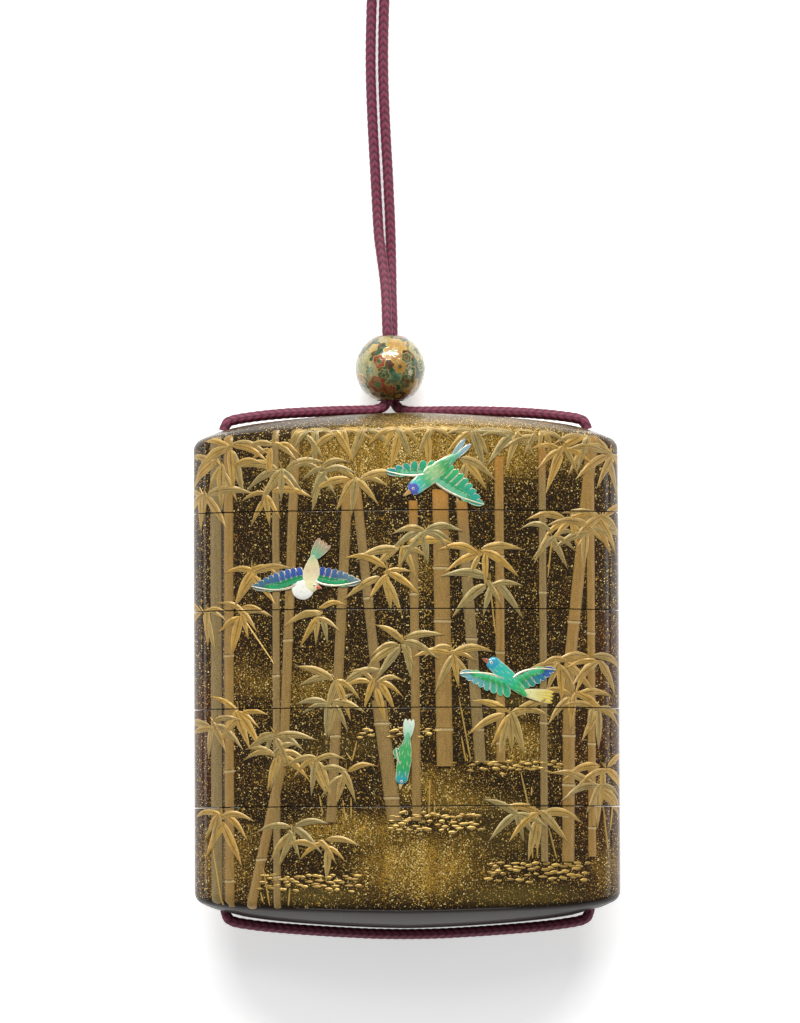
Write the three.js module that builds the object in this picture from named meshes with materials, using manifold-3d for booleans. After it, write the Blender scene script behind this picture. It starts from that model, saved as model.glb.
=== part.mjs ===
// Inro: a small tiered case of lacquered wood, lying on its back, strung on one silk cord.
// A lid and four boxes stack along Y, the lid at +Y. The decorated front faces +Z.
// The faces are bowed, so the plan is a lens with rounded ends, and each box stands on a thin
// raised lip that slides into the box above. A bamboo grove in low relief covers the front, and
// four enamelled birds are let into it. The cord runs down one side, across the underside, up
// the other side and over the lid, and both of its ends go through a round bead to a knot.
// Lengths are in millimetres. Z = 0 is the surface that the case lies on.
import * as THREE from 'three';
import { mergeVertices } from 'three/addons/utils/BufferGeometryUtils.js';
import Module from 'manifold-3d';

const wasm = await Module();
wasm.setup();

// ---- driving dimensions ----
const HALF_WIDTH = 38.6;      // middle to side of the lens-shaped plan
const HALF_DEPTH = 13.5;      // middle to front
const FACE_RADIUS = 75;       // bow of the front and the back
const REST_FLAT = 13;         // width of the flat stripe down the back that the case lies on
const BOX_PITCH = 17.8;       // height of each middle box
const LID_SIDE = 12.85;       // side height of the lid, from its joint to its corner
const FOOT_SIDE = 16.55;      // side height of the bottom box
const LID_CROWN = 5.5;        // rise of the lid's roof above its corners
const FOOT_CROWN = 5.1;       // drop of the underside below its corners
const EDGE_BOW = 2.45;        // rise of the roof's own front edge above the corners
const JOINT_GAP = 0.3;        // clearance between one box and the next
const SKIN = 0.9;             // wall outside a lip
const LIP = 0.9;              // thickness of a lip
const LIP_HEIGHT = 5;         // how far a lip stands up
const FLOOR = 1.6;            // floor of a box
const CROWN_WALL = 2;         // thickness of the roof and of the underside
const CAVITY_HALF_WIDTH = 29.2;
const CORNER = 1.6;           // corner of a cavity or a lip
const CHANNEL_X = 33;         // middle of each cord channel
const CHANNEL_RADIUS = 1.45;
const CHANNEL_SIDES = 10;
const MOUTH_RADIUS = 2.5;     // flare at the end of a channel
const MOUTH_DEPTH = 2.4;
const STATION = 3.25;         // facet width on the faces
const INNER_STATION = 9.75;   // facet width inside
const END_STEPS = 3;          // facets from a face to the tip of an end
const CROWN_ROWS = 4;         // facets across a crown
const RELIEF_ROOT = 0.3;      // how far relief is sunk into the wall, so that it joins
const RELIEF_MARGIN = 0.1;    // how far relief stops short of a joint
const CULM_RELIEF = 0.4;      // how far bamboo stems stand out
const LEAF_RELIEF = 0.28;     // how far bamboo leaves stand out
const BIRD_THICKNESS = 0.6;   // an enamel bird, from the lacquer's surface up
const POCKET = 0.3;           // depth of the bed under a bird, and the gap round it
const CORD_RADIUS = 1;
const CORD_SIDES = 8;
const BEAD_RADIUS = 6.4;
const BEAD_BORE = 2.5;
const BEAD_SIDES = 16;
const BEAD_Y = 55.3;
const BEAD_X = -2.73;

// ---- what follows from them ----
const LENGTH = FOOT_CROWN + FOOT_SIDE + 3 * BOX_PITCH + LID_SIDE + LID_CROWN;
const FOOT_CORNER = FOOT_CROWN - LENGTH / 2;
const LID_CORNER = LENGTH / 2 - LID_CROWN;
const JOINTS = [0, 1, 2, 3].map((i) => FOOT_CORNER + FOOT_SIDE + i * BOX_PITCH);
const ARC_CENTRE = FACE_RADIUS - HALF_DEPTH;
const END_RADIUS = (FACE_RADIUS ** 2 - HALF_WIDTH ** 2 - ARC_CENTRE ** 2)
  / (2 * (FACE_RADIUS - HALF_WIDTH));
const END_CENTRE = HALF_WIDTH - END_RADIUS;
const ARC_JOIN = END_CENTRE * FACE_RADIUS / (FACE_RADIUS - END_RADIUS);
const JOIN_ANGLE = Math.acos((ARC_JOIN - END_CENTRE) / END_RADIUS);
const AXIS_Z = halfDepth(REST_FLAT / 2, 0);
const SOCKET_DEPTH = LIP_HEIGHT + JOINT_GAP;

// ---- materials ----
const material = (color, roughness, metalness = 0) =>
  new THREE.MeshStandardMaterial({ color, roughness, metalness });
const LACQUER = material('#3a2a14', 0.25, 0.3);
const ENAMEL = material('#3fae8c', 0.2);
const SILK = material('#6a2036', 0.8);
const BEAD = material('#5b7a4a', 0.2);

// ---- solids ----
// A closed geometry as a solid, its vertices merged by position.
function solid(geometry) {
  geometry.deleteAttribute('normal');
  geometry.deleteAttribute('uv');
  const merged = mergeVertices(geometry, 1e-5);
  const corners = [];
  for (let i = 0; i < merged.index.count; i += 3) {
    const face = [0, 1, 2].map((k) => merged.index.getX(i + k));
    if (new Set(face).size === 3) corners.push(...face);
  }
  return new wasm.Manifold(new wasm.Mesh({
    numProp: 3,
    vertProperties: new Float32Array(merged.attributes.position.array),
    triVerts: new Uint32Array(corners),
  }));
}

// A solid as a named mesh, its vertices on a grid of microns so that slivers close up.
function meshOf(name, shape, finish) {
  const { vertProperties, triVerts } = shape.getMesh();
  const snapped = vertProperties.map((v) => Math.round(v * 1000) / 1000);
  const rough = new THREE.BufferGeometry();
  rough.setAttribute('position', new THREE.BufferAttribute(snapped, 3));
  rough.setIndex(new THREE.BufferAttribute(triVerts, 1));
  const clean = solid(rough).getMesh();
  const geometry = new THREE.BufferGeometry();
  geometry.setAttribute('position', new THREE.BufferAttribute(clean.vertProperties, 3));
  geometry.setIndex(new THREE.BufferAttribute(clean.triVerts, 1));
  const mesh = new THREE.Mesh(geometry, finish);
  mesh.name = name;
  return mesh;
}

const joined = (shapes) => shapes.reduce((whole, shape) => whole.add(shape));

// ---- the lens-shaped plan ----
// Middle to front at x, the whole outline drawn in by inset.
function halfDepth(x, inset) {
  const side = Math.abs(x);
  if (side < ARC_JOIN * (FACE_RADIUS - inset) / FACE_RADIUS) {
    return Math.sqrt((FACE_RADIUS - inset) ** 2 - side ** 2) - ARC_CENTRE;
  }
  return Math.sqrt(Math.max(0, (END_RADIUS - inset) ** 2 - (side - END_CENTRE) ** 2));
}

// Middle to back, cut off by the flat stripe.
const backDepth = (x, inset) => Math.min(halfDepth(x, inset), AXIS_Z - inset);

// The x of the facets: even steps over the face, then even angles round the end.
function stations(inset, step = STATION, endSteps = END_STEPS) {
  const scale = (FACE_RADIUS - inset) / FACE_RADIUS;
  const half = [];
  for (let x = step; x < ARC_JOIN * scale - 1; x += step) half.push(x);
  for (let i = 0; i <= endSteps; i += 1) {
    const angle = JOIN_ANGLE * (1 - i / endSteps);
    half.push(END_CENTRE + (END_RADIUS - inset) * Math.cos(angle));
  }
  return [...half.map((x) => -x).reverse(), 0, ...half];
}

// A straight-sided body from one y to another, with the plan as a closed outline.
function prism(outline, from, to) {
  const geometry = new THREE.ExtrudeGeometry(new THREE.Shape(outline), {
    depth: to - from, bevelEnabled: false,
  });
  return solid(geometry.rotateX(Math.PI / 2).translate(0, to, 0));
}

// The plan of a hollow or a lip: drawn in by inset, with ends cut square at halfWidth.
function squareEnded(inset, halfWidth) {
  const side = halfWidth - CORNER;
  const inner = stations(inset, INNER_STATION).filter((x) => Math.abs(x) < side - 1);
  const xs = [-side, ...inner, side];
  const depth = halfDepth(halfWidth, inset) - CORNER;
  return [
    new THREE.Vector2(-halfWidth, depth),
    ...xs.map((x) => new THREE.Vector2(x, halfDepth(x, inset))),
    new THREE.Vector2(halfWidth, depth),
    new THREE.Vector2(halfWidth, -depth),
    ...xs.reverse().map((x) => new THREE.Vector2(x, -backDepth(x, inset))),
    new THREE.Vector2(-halfWidth, -depth),
  ];
}

// Height of a crown above its corners: the front edge bows up, and the roof swells past it
// towards the ridge. across is -1 at the back edge, 0 on the ridge and 1 at the front edge.
function crown(x, across, rise) {
  const u = Math.min(1, Math.abs(x) / HALF_WIDTH);
  const bow = 1 - 0.55 * u ** 1.6 - 0.45 * u ** 8;
  return bow * (EDGE_BOW + (rise - EDGE_BOW) * (1 - across ** 2));
}

const flat = (y) => ({ rows: 1, at: () => y });
const domed = (corner, rise, sign) => ({
  rows: CROWN_ROWS,
  at: (x, across) => corner + sign * crown(x, across, rise),
});
const moved = (surface, dy) => ({ rows: surface.rows, at: (x, across) => surface.at(x, across) + dy });

// A block of the full plan between two end surfaces. Each end is a grid of x by across, and
// they share their edges with the wall.
function lensBlock(inset, low, high, xs = stations(inset)) {
  const positions = [];
  const point = (surface, i, across) => {
    const depth = across > 0 ? halfDepth(xs[i], inset) : backDepth(xs[i], inset);
    return [xs[i], surface.at(xs[i], across), depth * across];
  };
  const quad = (a, b, c, d) => positions.push(...a, ...b, ...c, ...a, ...c, ...d);
  for (let i = 0; i + 1 < xs.length; i += 1) {
    for (const [surface, facing] of [[low, 1], [high, -1]]) {
      for (let row = 0; row < surface.rows; row += 1) {
        const [near, far] = [row, row + 1].map((r) => 2 * r / surface.rows - 1);
        const [first, last] = facing > 0 ? [i, i + 1] : [i + 1, i];
        quad(point(surface, first, near), point(surface, last, near),
          point(surface, last, far), point(surface, first, far));
      }
    }
    for (const [across, first, last] of [[1, i, i + 1], [-1, i + 1, i]]) {
      quad(point(low, first, across), point(low, last, across),
        point(high, last, across), point(high, first, across));
    }
  }
  const geometry = new THREE.BufferGeometry();
  geometry.setAttribute('position', new THREE.Float32BufferAttribute(positions, 3));
  return solid(geometry);
}

// A round bar along Y, its two ends of any radius.
function bar(x, from, to, lowRadius, highRadius = lowRadius) {
  const geometry = new THREE.CylinderGeometry(highRadius, lowRadius, to - from, CHANNEL_SIDES);
  return solid(geometry.translate(x, (from + to) / 2, 0));
}

// ---- the tiers ----
const TIERS = [
  { name: 'bottom_case', low: domed(FOOT_CORNER, FOOT_CROWN, -1), joint: 0 },
  { name: 'third_case', joint: 1 },
  { name: 'second_case', joint: 2 },
  { name: 'upper_case', joint: 3 },
  { name: 'lid', high: domed(LID_CORNER, LID_CROWN, 1), joint: 4 },
].map(({ name, low, high, joint }) => ({
  name,
  low: low ?? flat(JOINTS[joint - 1] + JOINT_GAP / 2),
  high: high ?? flat(JOINTS[joint] - JOINT_GAP / 2),
}));

const CHANNELS = joined([-CHANNEL_X, CHANNEL_X].flatMap((x) => {
  const top = LID_CORNER + crown(CHANNEL_X, 0, LID_CROWN);
  const foot = FOOT_CORNER - crown(CHANNEL_X, 0, FOOT_CROWN);
  return [
    bar(x, -LENGTH, LENGTH, CHANNEL_RADIUS),
    bar(x, top - MOUTH_DEPTH, top + MOUTH_DEPTH, CHANNEL_RADIUS, 2 * MOUTH_RADIUS - CHANNEL_RADIUS),
    bar(x, foot - MOUTH_DEPTH, foot + MOUTH_DEPTH, 2 * MOUTH_RADIUS - CHANNEL_RADIUS, CHANNEL_RADIUS),
  ];
}));

const socketInset = SKIN;
const lipInset = SKIN + JOINT_GAP;
const cavityInset = SKIN + JOINT_GAP + LIP;
const lipHalfWidth = CAVITY_HALF_WIDTH + LIP;
const socketHalfWidth = lipHalfWidth + JOINT_GAP;

// One tier: its outer block with its lip, less the socket, the hollow and the cord channels.
function tier({ low, high }) {
  const isFoot = low.rows > 1;
  const isLid = high.rows > 1;
  const bottom = isFoot ? -LENGTH : low.at();
  const top = isLid ? LENGTH : high.at();
  let body = lensBlock(0, low, high);
  if (!isLid) {
    body = body.add(prism(squareEnded(lipInset, lipHalfWidth), top - FLOOR, top + LIP_HEIGHT));
  }
  if (!isFoot) {
    const socket = squareEnded(socketInset, socketHalfWidth);
    body = body.subtract(prism(socket, bottom - 1, bottom + SOCKET_DEPTH));
  }
  const hollow = squareEnded(cavityInset, CAVITY_HALF_WIDTH);
  const floor = isLid ? bottom - 1 : bottom + SOCKET_DEPTH + FLOOR;
  let cavity = prism(hollow, isFoot ? -LENGTH : floor, isLid ? LENGTH : top + LIP_HEIGHT + 1);
  if (isFoot || isLid) {
    const under = isFoot ? domed(FOOT_CORNER + CROWN_WALL, FOOT_CROWN, -1) : flat(floor);
    const over = isLid ? domed(LID_CORNER - CROWN_WALL, LID_CROWN, 1) : flat(LENGTH);
    cavity = cavity.intersect(lensBlock(0, under, over, stations(0, INNER_STATION, 1)));
  }
  return body.subtract(cavity).subtract(CHANNELS);
}

// ---- relief and inlay: flat patterns laid over the bowed front ----
// The layer of the front between two insets, over one tier, just short of its joints.
function layer({ low, high }, inner, outer) {
  const outside = lensBlock(outer, moved(low, RELIEF_MARGIN), moved(high, -RELIEF_MARGIN));
  return outside.subtract(lensBlock(inner, flat(-LENGTH), flat(LENGTH)));
}

// An outline in x and y as a block through the front wall.
const cutter = (outline) => solid(new THREE.ExtrudeGeometry(
  new THREE.Shape(outline.map(([x, y]) => new THREE.Vector2(x, y))),
  { depth: 2 * HALF_DEPTH, bevelEnabled: false, curveSegments: 8 },
));

const polar = ([x, y], angle, reach) => {
  const turn = THREE.MathUtils.degToRad(angle);
  return [x + reach * Math.cos(turn), y + reach * Math.sin(turn)];
};
const between = (a, b, t) => a + (b - a) * t;
const midway = (p, q, t) => [between(p[0], q[0], t), between(p[1], q[1], t)];

// Bamboo stems: x and y of the top and of the foot, width, and the heights of the nodes.
const CULMS = [
  { top: [-34.4, 42], foot: [-34.4, -43], width: 2, nodes: [] },
  { top: [-32.1, 42], foot: [-32.1, -43], width: 1.7, nodes: [2.5, -18.4, -38.3] },
  { top: [-19.8, 43], foot: [-22.2, -16], width: 1.7, nodes: [5.1] },
  { top: [-22.2, -16], foot: [-28.3, -43.4], width: 1.8, nodes: [-34.4] },
  { top: [-10.4, 34], foot: [-13.7, -27.9], width: 1.8, nodes: [-12.3] },
  { top: [-9.1, 34], foot: [-5, -6], width: 1.7, nodes: [12.5] },
  { top: [-5, -6], foot: [-2.3, -27.7], width: 2.6, nodes: [-10.1, -23.5] },
  { top: [1.3, 30], foot: [1.7, -27.7], width: 1.6, nodes: [13.2] },
  { top: [6.2, 32], foot: [6.8, -17.9], width: 2.9, nodes: [17.9, 8.3, -11.2] },
  { top: [10, 30], foot: [13.2, -17.2], width: 2, nodes: [5.1, -11.2] },
  { top: [16.8, 38], foot: [16.9, -17.2], width: 1.6, nodes: [20.1, 2.7, -13.7] },
  { top: [33.9, 42], foot: [29.4, 0], width: 2.1, nodes: [8.3] },
  { top: [29.4, 0], foot: [29, -35.1], width: 2.2, nodes: [-12.3, -21.2, -26.8] },
  { top: [33.4, 42], foot: [33.4, -34.2], width: 1.4, nodes: [6.3, -13.7, -28.9] },
];
const NODE_HEIGHT = 0.45;
const NODE_STEP = 0.35;       // how much wider than its stem a node is
const RINGED_WIDTH = 2;       // stems thinner than this have no raised ring at a node

function culmShapes({ top, foot, width, nodes }) {
  const half = width / 2;
  const stem = [[top[0] - half, top[1]], [foot[0] - half, foot[1]],
    [foot[0] + half, foot[1]], [top[0] + half, top[1]]];
  const rings = (width < RINGED_WIDTH ? [] : nodes).map((y) => {
    const x = between(foot[0], top[0], (y - foot[1]) / (top[1] - foot[1]));
    const [w, h] = [(width + NODE_STEP) / 2, NODE_HEIGHT / 2];
    return [[x - w, y + h], [x - w, y - h], [x + w, y - h], [x + w, y + h]];
  });
  return [stem, ...rings];
}

// Leaf sprays: x and y of the hub, number of leaves, and how far the fan is turned from hanging
// straight down, in degrees.
const SPRAYS = [
  [-31.7, 40, 3, -15], [-24, 40.2, 4, 10], [28.5, 39.6, 4, 0],
  [-27.9, 17.8, 3, -10], [-4.1, 17.8, 3, -15], [3.7, 25.4, 4, 0], [14, 21, 4, 20],
  [27, 25.6, 3, -10], [7.9, 3.4, 4, 15], [29.5, 1.6, 4, -10],
  [-30.5, -7.9, 3, 10], [-23.8, -12, 4, 0], [30.6, -8.6, 3, 0], [-20.9, -29.2, 4, 0],
  [22, -26.6, 4, 0],
];
const FAN = 205;              // spread of a full spray
const LEAF_LENGTH = 6.2;
const LEAF_WIDTH = 1.3;
const LEAF_HEEL = 0.4;        // how far a leaf runs back through the hub, so that leaves join

function sprayShapes([x, y, count, turn]) {
  return Array.from({ length: count }, (_, i) => {
    const angle = -90 + turn + FAN * ((i + 0.5) / count - 0.5);
    const reach = LEAF_LENGTH * (0.86 + 0.2 * Math.cos(2.4 * i + x));
    const shoulder = polar([x, y], angle, 0.42 * reach);
    return [polar([x, y], angle, -LEAF_HEEL), polar(shoulder, angle - 90, LEAF_WIDTH / 2),
      polar([x, y], angle, reach), polar(shoulder, angle + 90, LEAF_WIDTH / 2)];
  });
}

// Enamel birds. A body is an ellipse from its head to the root of its tail. A wing's feathers
// spring from an arm between the shoulder and the wrist. The first points to the wing's tip
// and the last lies nearest to the body.
const WING_SWELL = 0.7;      // how far the feather tips stand out past a straight line
const NOTCH = 0.1;           // depth of the notch between two feathers, as a share of the wing
const BIRDS = [
  {
    name: 'lid_bird', tier: 4, head: [1.7, 32.4], rump: [8.6, 37.8], girth: 3.4,
    headRadius: 1.35, beak: [-0.5, 30.8], tail: { tip: [11.2, 40.7], width: 1.7 },
    wings: [
      { shoulder: [4, 35], tip: [-3.6, 35.4], bow: 0.5, last: [5, 37.2], feathers: 4 },
      { shoulder: [5.4, 33.2], tip: [14, 29.3], bow: 0.4, last: [8.6, 36.3], feathers: 5 },
    ],
  },
  {
    name: 'upper_case_bird', tier: 3, head: [-17.3, 15], rump: [-16.7, 19.8], girth: 3.2,
    headRadius: 1.5, beak: [-15.2, 14.3], breast: { at: [-18.8, 14.2], radius: 2.1 },
    tail: { tip: [-14.6, 22.7], width: 2.9 },
    wings: [
      { shoulder: [-19, 15.6], tip: [-27.8, 14.9], bow: 1, last: [-19.3, 18.2], feathers: 5 },
      { shoulder: [-16.6, 15.8], tip: [-8.2, 15.6], bow: 0.8, last: [-16, 18.2], feathers: 5 },
    ],
  },
  {
    name: 'second_case_bird', tier: 2, head: [15.7, 0.5], rump: [20.9, -4.6], girth: 3,
    headRadius: 1.3, beak: [13.5, 1.5], tail: { tip: [26.3, -5.5], width: 2.6 },
    wings: [
      { shoulder: [18.9, -2.2], tip: [26.8, -0.5], bow: 0.9, last: [20.9, -4], feathers: 4 },
      { shoulder: [17.4, -2.2], tip: [9.5, -1.2], bow: 0.5, last: [18.2, -5.5], feathers: 5 },
    ],
  },
  {
    name: 'third_case_bird', tier: 1, head: [-1, -20.3], rump: [0.1, -12.7], girth: 2.7,
    headRadius: 0.95, beak: [-1.3, -22.2], tail: { tip: [0.5, -9.4], width: 1.9 },
    wings: [
      { shoulder: [-0.5, -18.6], tip: [-2, -14.6], bow: 0.2, last: [-0.2, -13.6], feathers: 3 },
    ],
  },
];

function ellipse(from, to, girth, overshoot) {
  const length = Math.hypot(to[0] - from[0], to[1] - from[1]);
  const turn = Math.atan2(to[1] - from[1], to[0] - from[0]);
  const middle = midway(from, to, 0.5);
  const curve = new THREE.EllipseCurve(
    ...middle, length / 2 + overshoot, girth / 2, 0, 2 * Math.PI, false, turn,
  );
  return curve.getPoints(8).slice(0, -1).map(({ x, y }) => [x, y]);
}

const round = (at, radius) => ellipse(at, at, 2 * radius, radius);

function across([x, y], [toX, toY], distance) {
  const length = Math.hypot(toX - x, toY - y);
  return [-(toY - y) / length * distance, (toX - x) / length * distance];
}
const shifted = ([x, y], [dx, dy]) => [x + dx, y + dy];

function tailShape(rump, { tip, width }) {
  const side = across(rump, tip, width / 2);
  const back = side.map((v) => -v);
  const root = side.map((v) => v * 0.7);
  return [shifted(rump, root), shifted(rump, root.map((v) => -v)), shifted(tip, back),
    midway(rump, tip, 0.86), shifted(tip, side)];
}

// A step square to the line between two points, on the side away from a third.
function awayFrom(third, from, to, distance) {
  const [dx, dy] = across(from, to, distance);
  const facesThird = dx * (third[0] - from[0]) + dy * (third[1] - from[1]) > 0;
  return facesThird ? [-dx, -dy] : [dx, dy];
}

function wingShape({ shoulder, tip, bow, last, feathers }) {
  const wrist = shifted(midway(shoulder, tip, 0.42), awayFrom(last, shoulder, tip, bow));
  const tips = Array.from({ length: feathers }, (_, i) => {
    const t = i / (feathers - 1);
    const swell = WING_SWELL * Math.sin(Math.PI * t) ** 0.8;
    return shifted(midway(tip, last, t), awayFrom(shoulder, tip, last, swell));
  });
  const scallops = tips.flatMap((point, i) => {
    if (i === 0) return [point];
    return [midway(midway(tips[i - 1], point, 0.5), shoulder, NOTCH), point];
  });
  return [shoulder, wrist, ...scallops];
}

// The bed that a bird lies in has plain wing edges, without the feathers' notches.
const bedWing = (wing) => {
  const [shoulder, wrist, tip, , middle, , last] = wingShape({ ...wing, feathers: 3 });
  return [shoulder, wrist, tip, middle, last];
};

function birdPattern(bird, outlineWing = wingShape) {
  const outlines = [
    ellipse(bird.head, bird.rump, bird.girth, 0.6),
    round(bird.head, bird.headRadius),
    tailShape(bird.rump, bird.tail),
    ...bird.wings.map(outlineWing),
  ];
  const side = across(bird.head, bird.beak, bird.headRadius * 0.55);
  outlines.push([shifted(bird.head, side.map((v) => -v)), bird.beak, shifted(bird.head, side)]);
  if (bird.breast) outlines.push(round(bird.breast.at, bird.breast.radius));
  return outlines;
}

// An outline wound anticlockwise.
const wound = (outline) => {
  const points = outline.map(([x, y]) => new THREE.Vector2(x, y));
  return THREE.ShapeUtils.isClockWise(points) ? [...outline].reverse() : outline;
};
const pattern = (outlines) => joined(outlines.map((outline) => cutter(wound(outline))));

// The same pattern grown by a margin on every side.
const grown = (shape, margin) =>
  joined([[0, 0], [1, 1], [-1, 1], [-1, -1], [1, -1]].map(([x, y]) =>
    shape.translate(margin * x, margin * y, 0)));

// ---- the cord, the bead and the knot ----
// Routes are chosen by hand, in x, y and z, with a ring of the tube at each point.
const LEFT_STRAND = [
  [-33, 43.6, 13.2], [-32.8, 44.4, 13.2], [-32.3, 45.1, 13.15], [-31.4, 45.5, 13],
  [-28, 46.1, 12.6], [-23, 46.7, 11.6], [-18, 47.05, 10.6], [-12, 47.35, 9.4],
  [-8, 47.45, 8.5], [-5.6, 47.6, 7.9], [-4.2, 48.1, 7.6], [-3.4, 49.1, 7.5],
  [-3.2, 50.5, 7.46], [-3.2, 55.3, 7.46], [-3.2, 60.8, 7.46], [-3.3, 64, 6.9],
  [-3.4, 68, 5.6], [-3.7, 72, 4.2], [-4.2, 76, 2.9], [-4.7, 80, 1.9],
  [-5, 85, 1.2], [-5.3, 91, 1.02], [-5.8, 101, 1.02], [-6.1, 111, 1.02],
  [-5.9, 122, 1.02], [-5.1, 137, 1.02], [-4.8, 152, 1.02], [-5.2, 167, 1.02],
  [-4.9, 179.3, 1.5],
];
const RIGHT_STRAND = [
  [33, 43.6, 13.2], [32.8, 44.4, 13.2], [32.3, 45.1, 13.15], [31.4, 45.5, 13],
  [28, 46.1, 12.4], [23, 46.65, 11.2], [18, 47, 10], [12, 47.25, 8.6],
  [7, 47.35, 7.3], [3, 47.35, 6.3], [0.6, 47.45, 5.8], [-1, 47.9, 5.5],
  [-1.9, 48.9, 5.4], [-2.2, 50.4, 5.34], [-2.28, 55.3, 5.34], [-2.28, 60.5, 5.34],
  [-2.3, 64, 4.6], [-2.4, 68, 3.3], [-2.45, 72, 2.1], [-2.5, 76, 1.25],
  [-2.6, 81, 1.02], [-3, 91, 1.02], [-3.5, 101, 1.02], [-3.8, 111, 1.02],
  [-3.6, 122, 1.02], [-2.8, 137, 1.02], [-2.4, 152, 1.02], [-2.8, 167, 1.02],
  [-2.5, 179.3, 1.5],
];
const UNDER_LOOP = [
  [-33, 43.3, 13.2], [-33, -43, 13.2], [-33, -43.8, 13.2], [-32.8, -44.6, 13.2],
  [-32.3, -45.3, 13.2], [-31.4, -45.7, 13.2], [-28, -46.3, 13.2], [-24, -46.75, 13.2],
  [-18, -47.25, 13.2], [-12, -47.65, 13.2], [-6, -47.95, 13.2], [0, -48.05, 13.2],
  [6, -47.95, 13.2], [12, -47.65, 13.2], [18, -47.25, 13.2], [24, -46.75, 13.2],
  [28, -46.3, 13.2], [31.4, -45.7, 13.2], [32.3, -45.3, 13.2], [32.8, -44.6, 13.2],
  [33, -43.8, 13.2], [33, -43, 13.2], [33, 43.3, 13.2],
];
const KNOT = { at: [-3.7, 184, 2.6], radii: [3.3, 4.6, 2.6] };

// A smooth curve through its points that a tube steps along from point to point.
class Route extends THREE.CatmullRomCurve3 {
  constructor(points) {
    super(points.map((point) => new THREE.Vector3(...point)), false, 'centripetal');
  }

  getPointAt(t, target) {
    return this.getPoint(t, target);
  }

  getTangentAt(t, target) {
    return this.getTangent(t, target);
  }
}

function cordMesh(name, route) {
  const ring = Array.from({ length: CORD_SIDES }, (_, i) => {
    const turn = (i + 0.5) * 2 * Math.PI / CORD_SIDES;
    return new THREE.Vector2(CORD_RADIUS * Math.cos(turn), CORD_RADIUS * Math.sin(turn));
  });
  const geometry = new THREE.ExtrudeGeometry(new THREE.Shape(ring), {
    steps: route.length - 1, bevelEnabled: false, extrudePath: new Route(route),
  });
  const mesh = new THREE.Mesh(geometry, SILK);
  mesh.name = name;
  return mesh;
}

// The bead: a sphere's profile from one end of the bore round to the other, and back up the bore.
function beadMesh() {
  const steps = 7;
  const first = Math.asin(BEAD_BORE / BEAD_RADIUS);
  const profile = Array.from({ length: steps + 1 }, (_, i) => {
    const angle = between(Math.PI - first, first, i / steps);
    return new THREE.Vector2(BEAD_RADIUS * Math.sin(angle), BEAD_RADIUS * Math.cos(angle));
  });
  const geometry = new THREE.LatheGeometry([...profile, profile[0].clone()], BEAD_SIDES);
  const mesh = new THREE.Mesh(geometry, BEAD);
  mesh.name = 'ojime_bead';
  mesh.position.set(BEAD_X, BEAD_Y, BEAD_RADIUS);
  return mesh;
}

function knotMesh() {
  const mesh = new THREE.Mesh(new THREE.SphereGeometry(1, 12, 8), SILK);
  mesh.name = 'cord_knot';
  mesh.scale.set(...KNOT.radii);
  mesh.position.set(...KNOT.at);
  return mesh;
}

// ---- assembly ----
const stems = pattern(CULMS.flatMap(culmShapes));
const leaves = pattern(SPRAYS.flatMap(sprayShapes));
const birds = BIRDS.map((bird) => ({
  ...bird,
  shape: pattern(birdPattern(bird)),
  bed: grown(pattern(birdPattern(bird, bedWing)), POCKET),
}));

const inro = new THREE.Group();
inro.position.z = AXIS_Z;
TIERS.forEach((level, i) => {
  const here = birds.filter((bird) => bird.tier === i);
  let relief = stems.intersect(layer(level, RELIEF_ROOT, -CULM_RELIEF))
    .add(leaves.intersect(layer(level, RELIEF_ROOT, -LEAF_RELIEF)));
  let body = tier(level);
  here.forEach((bird) => {
    relief = relief.subtract(bird.bed);
    body = body.subtract(bird.bed.intersect(layer(level, POCKET, -POCKET)));
  });
  inro.add(meshOf(level.name, body.add(relief), LACQUER));
  here.forEach((bird) => {
    const plate = bird.shape.intersect(layer(level, 0, -BIRD_THICKNESS));
    inro.add(meshOf(bird.name, plate, ENAMEL));
  });
});

const model = new THREE.Group();
model.add(
  inro,
  beadMesh(),
  cordMesh('cord_left_strand', LEFT_STRAND),
  cordMesh('cord_right_strand', RIGHT_STRAND),
  cordMesh('cord_under_loop', UNDER_LOOP),
  knotMesh(),
);

export default model;
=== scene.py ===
"""An inro: a lid and four boxes of gold-flecked lacquer on one silk cord, with its bead and knot.

It lies on its back. X runs across it, +Y is towards its lid, +Z comes out of its decorated front
and Z = 0 is the table. Shapes are worked out in millimetres and put into the meshes in metres.
A shape is a grid of points computed as whole arrays, whose ends and seams are then merged.
"""

import bmesh
import bpy
import numpy as np
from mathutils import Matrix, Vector


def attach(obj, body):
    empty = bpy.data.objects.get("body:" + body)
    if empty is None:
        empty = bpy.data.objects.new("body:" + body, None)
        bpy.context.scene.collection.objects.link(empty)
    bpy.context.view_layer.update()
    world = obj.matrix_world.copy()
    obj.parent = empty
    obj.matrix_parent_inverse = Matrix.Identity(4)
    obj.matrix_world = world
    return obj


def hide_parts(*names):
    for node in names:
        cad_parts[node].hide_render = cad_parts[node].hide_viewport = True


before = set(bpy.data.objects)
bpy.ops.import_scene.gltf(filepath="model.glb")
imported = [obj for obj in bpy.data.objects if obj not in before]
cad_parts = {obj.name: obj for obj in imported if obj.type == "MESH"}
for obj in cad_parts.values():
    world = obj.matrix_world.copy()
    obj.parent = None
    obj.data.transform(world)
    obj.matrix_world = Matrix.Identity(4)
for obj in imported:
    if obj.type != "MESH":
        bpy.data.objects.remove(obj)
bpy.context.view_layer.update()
MM = 0.001
UP = np.array([0.0, 0.0, 1.0])
EDGE_ANGLE = 38            # degrees between two faces from which their edge is kept crisp

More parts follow.
